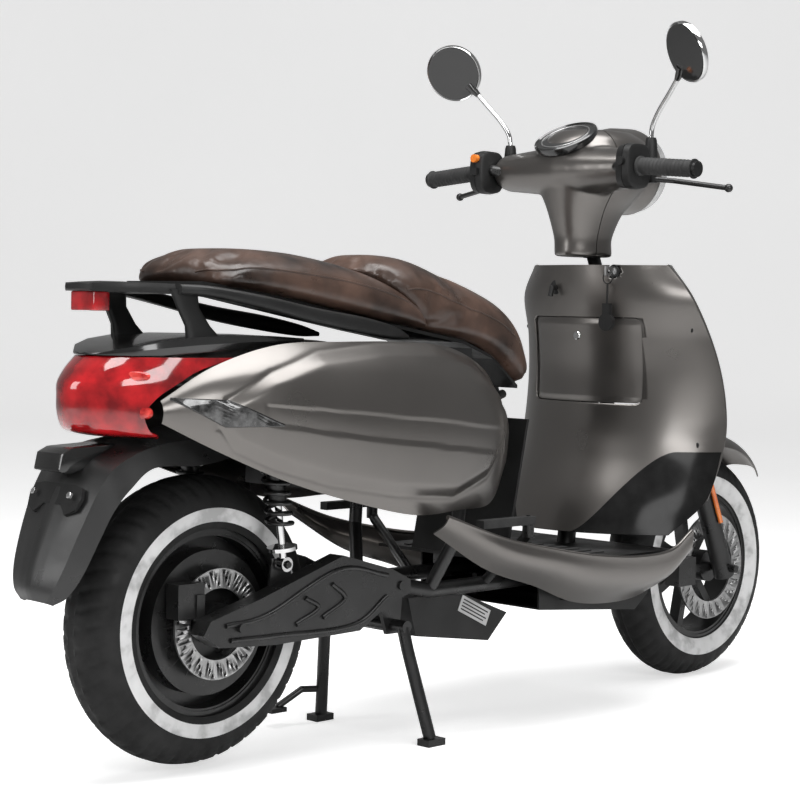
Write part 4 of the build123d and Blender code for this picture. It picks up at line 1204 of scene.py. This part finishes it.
def wheels():
    tyre("rear_tyre_tread", 0, 246, 236.5, 60, 152, "rear_wheel", "rear_rubber", "rear_tyre")
    tyre("front_tyre_tread", 1350, 234, 234, 52, 150, "front_wheel", "front_rubber", "front_tyre")
    drilled_disc("rear_brake_disc", 0, 246, -74, 90, 58, "rear_wheel", "rear_disc")
    drilled_disc("front_brake_disc", 1350, 234, -66, 110, 74, "front_wheel", "front_disc", 24)
    for side in (-1, 1):
        for i in range(18):
            a = 2 * math.pi * i / 18
            c, s = math.cos(a), math.sin(a)
            points = [(x * c, side * y, 246 + x * s) for x, y in ((66, 47), (92, 47.5), (112, 45))]
            rib = tube(f"hub_rib_{'L' if side > 0 else 'R'}_{i:02d}", points, 3.2, 8)
            place(rib, "rear_wheel", "frame_black")


def springs():
    """The coil of each rear shock, wound around its body."""
    top, foot = Vector((70, 0, 590)), Vector((108, 0, 338))
    axis = (foot - top).normalized()
    side = axis.cross(Vector((0, 1, 0))).normalized()
    for name, y in (("left", 108), ("right", -108)):
        points = []
        for i in range(241):
            t = i / 240
            a = 2 * math.pi * 9 * t
            points.append(top + Vector((0, y, 0)) + axis * (40 + 150 * t)
                          + side * 20.5 * math.cos(a) + Vector((0, 1, 0)) * 20.5 * math.sin(a))
        extra = {"replaces": ["shock_springs"]} if y > 0 else {}
        coil = tube("shock_coil_" + name, points, 3.6, 10)
        place(coil, "shock_top", "frame_black", **extra)
        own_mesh(coil)


covers()
leg_shield()
screws()
skirts()
footboard_mat()
seat()
grab_rail()
tail()
signals()
trim_inserts()
battery_label()
swingarm_ribs()
rear_fender()
front_guard()
handlebar_cover()
housings()
grip("grip_left", 1, "steering", "left_grip")
grip("grip_right", -1, "throttle", "throttle_grip")
mirrors()
wheels()
springs()

# ---------------------------------------------------------------- studio


def floor_and_wall():
    """A pale floor that curves up far behind the machine."""
    half, back, rise, steps = 14.0, 9.0, 4.0, 12
    profile = [(-half, 0.0), (back, 0.0)]
    profile += [(back + rise * math.sin(a), rise * (1 - math.cos(a)))
                for a in (math.pi / 2 * i / steps for i in range(1, steps + 1))]
    profile.append((back + rise, 14.0))
    across, along = Vector((0.7, -0.714, 0)), Vector((0.714, 0.7, 0))
    mesh = bmesh.new()
    rows = [[mesh.verts.new(along * d + across * s + Vector((0, 0, z))) for s in (-18.0, 18.0)]
            for d, z in profile]
    for low, high in zip(rows, rows[1:]):
        mesh.faces.new((low[0], low[1], high[1], high[0]))
    data = bpy.data.meshes.new("floor")
    mesh.to_mesh(data)
    mesh.free()
    made = bpy.data.objects.new("floor", data)
    bpy.context.scene.collection.objects.link(made)
    for face in data.polygons:
        face.use_smooth = True
    return made


def softbox(name, place, target, size, power):
    """A rectangular soft light at place that faces target, in row-frame metres."""
    data = bpy.data.lights.new(name, "AREA")
    data.shape = "RECTANGLE"
    data.size, data.size_y = size
    data.energy = power
    made = bpy.data.objects.new(name, data)
    made.location = place
    aim = Vector(target) - Vector(place)
    made.rotation_euler = aim.to_track_quat("-Z", "Y").to_euler()
    bpy.context.scene.collection.objects.link(made)


def floor_glow(strength):
    """Lifts the floor towards white where the camera sees it, without lighting the machine."""
    tree = MATERIALS["studio_floor"].node_tree
    seen = tree.nodes.new("ShaderNodeLightPath").outputs["Is Camera Ray"]
    shader = tree.nodes["Principled BSDF"]
    glow = maths(tree, "Math", "MULTIPLY", seen, strength)
    tree.links.new(glow, shader.inputs["Emission Strength"])
    shader.inputs["Emission Color"].default_value = (1.0, 1.0, 1.0, 1.0)


def world_light(strength):
    """A white surround that lights at that strength and looks white behind the machine."""
    world = bpy.data.worlds.new("studio")
    bpy.context.scene.world = world
    world.use_nodes = True
    background = world.node_tree.nodes["Background"]
    background.inputs["Color"].default_value = (1.0, 1.0, 1.0, 1.0)
    background.inputs["Strength"].default_value = strength
    tree = world.node_tree
    seen = tree.nodes.new("ShaderNodeLightPath").outputs["Is Camera Ray"]
    extra = maths(tree, "Math", "MULTIPLY", seen, 1.0 - strength)
    brighter = maths(tree, "Math", "ADD", extra, strength)
    tree.links.new(brighter, background.inputs["Strength"])


def photo_camera():
    """The photograph's viewpoint, found from the machine's own measured points."""
    ahead = Vector((0.71348, 0.69922, -0.04528)).normalized()
    right = ahead.cross(Vector((0, 0, 1))).normalized()
    up = right.cross(ahead)
    roll = math.radians(1.1306)
    right_rolled = right * math.cos(roll) + up * math.sin(roll)
    up_rolled = up * math.cos(roll) - right * math.sin(roll)
    data = bpy.data.cameras.new("photo_view")
    data.lens, data.sensor_width = 90.35, 36.0
    data.clip_end = 100.0
    camera = bpy.data.objects.new("photo_view", data)
    turn = Matrix((right_rolled, up_rolled, -ahead)).transposed()
    camera.matrix_world = Matrix.Translation((-2.71632, -2.51772, 0.75680)) @ turn.to_4x4()
    bpy.context.scene.collection.objects.link(camera)
    bpy.context.scene.camera = camera


material("studio_floor", grey(0.86), grey(0.9), (0.6, 0.7), scale=0.5, grain=(30.0, 0.01))
dress(floor_and_wall(), "studio_floor")
floor_glow(0.55)
bpy.context.scene.view_settings.view_transform = "Standard"
world_light(0.22)
softbox("top", (-0.3, -0.4, 3.2), (0, 0, 0.6), (3.2, 2.2), 150.0)
softbox("left_side", (-1.6, -3.6, 1.9), (0.1, 0, 0.6), (2.4, 1.2), 60.0)
softbox("rear", (-3.6, 1.2, 1.6), (0, 0, 0.7), (1.0, 2.0), 30.0)
photo_camera()
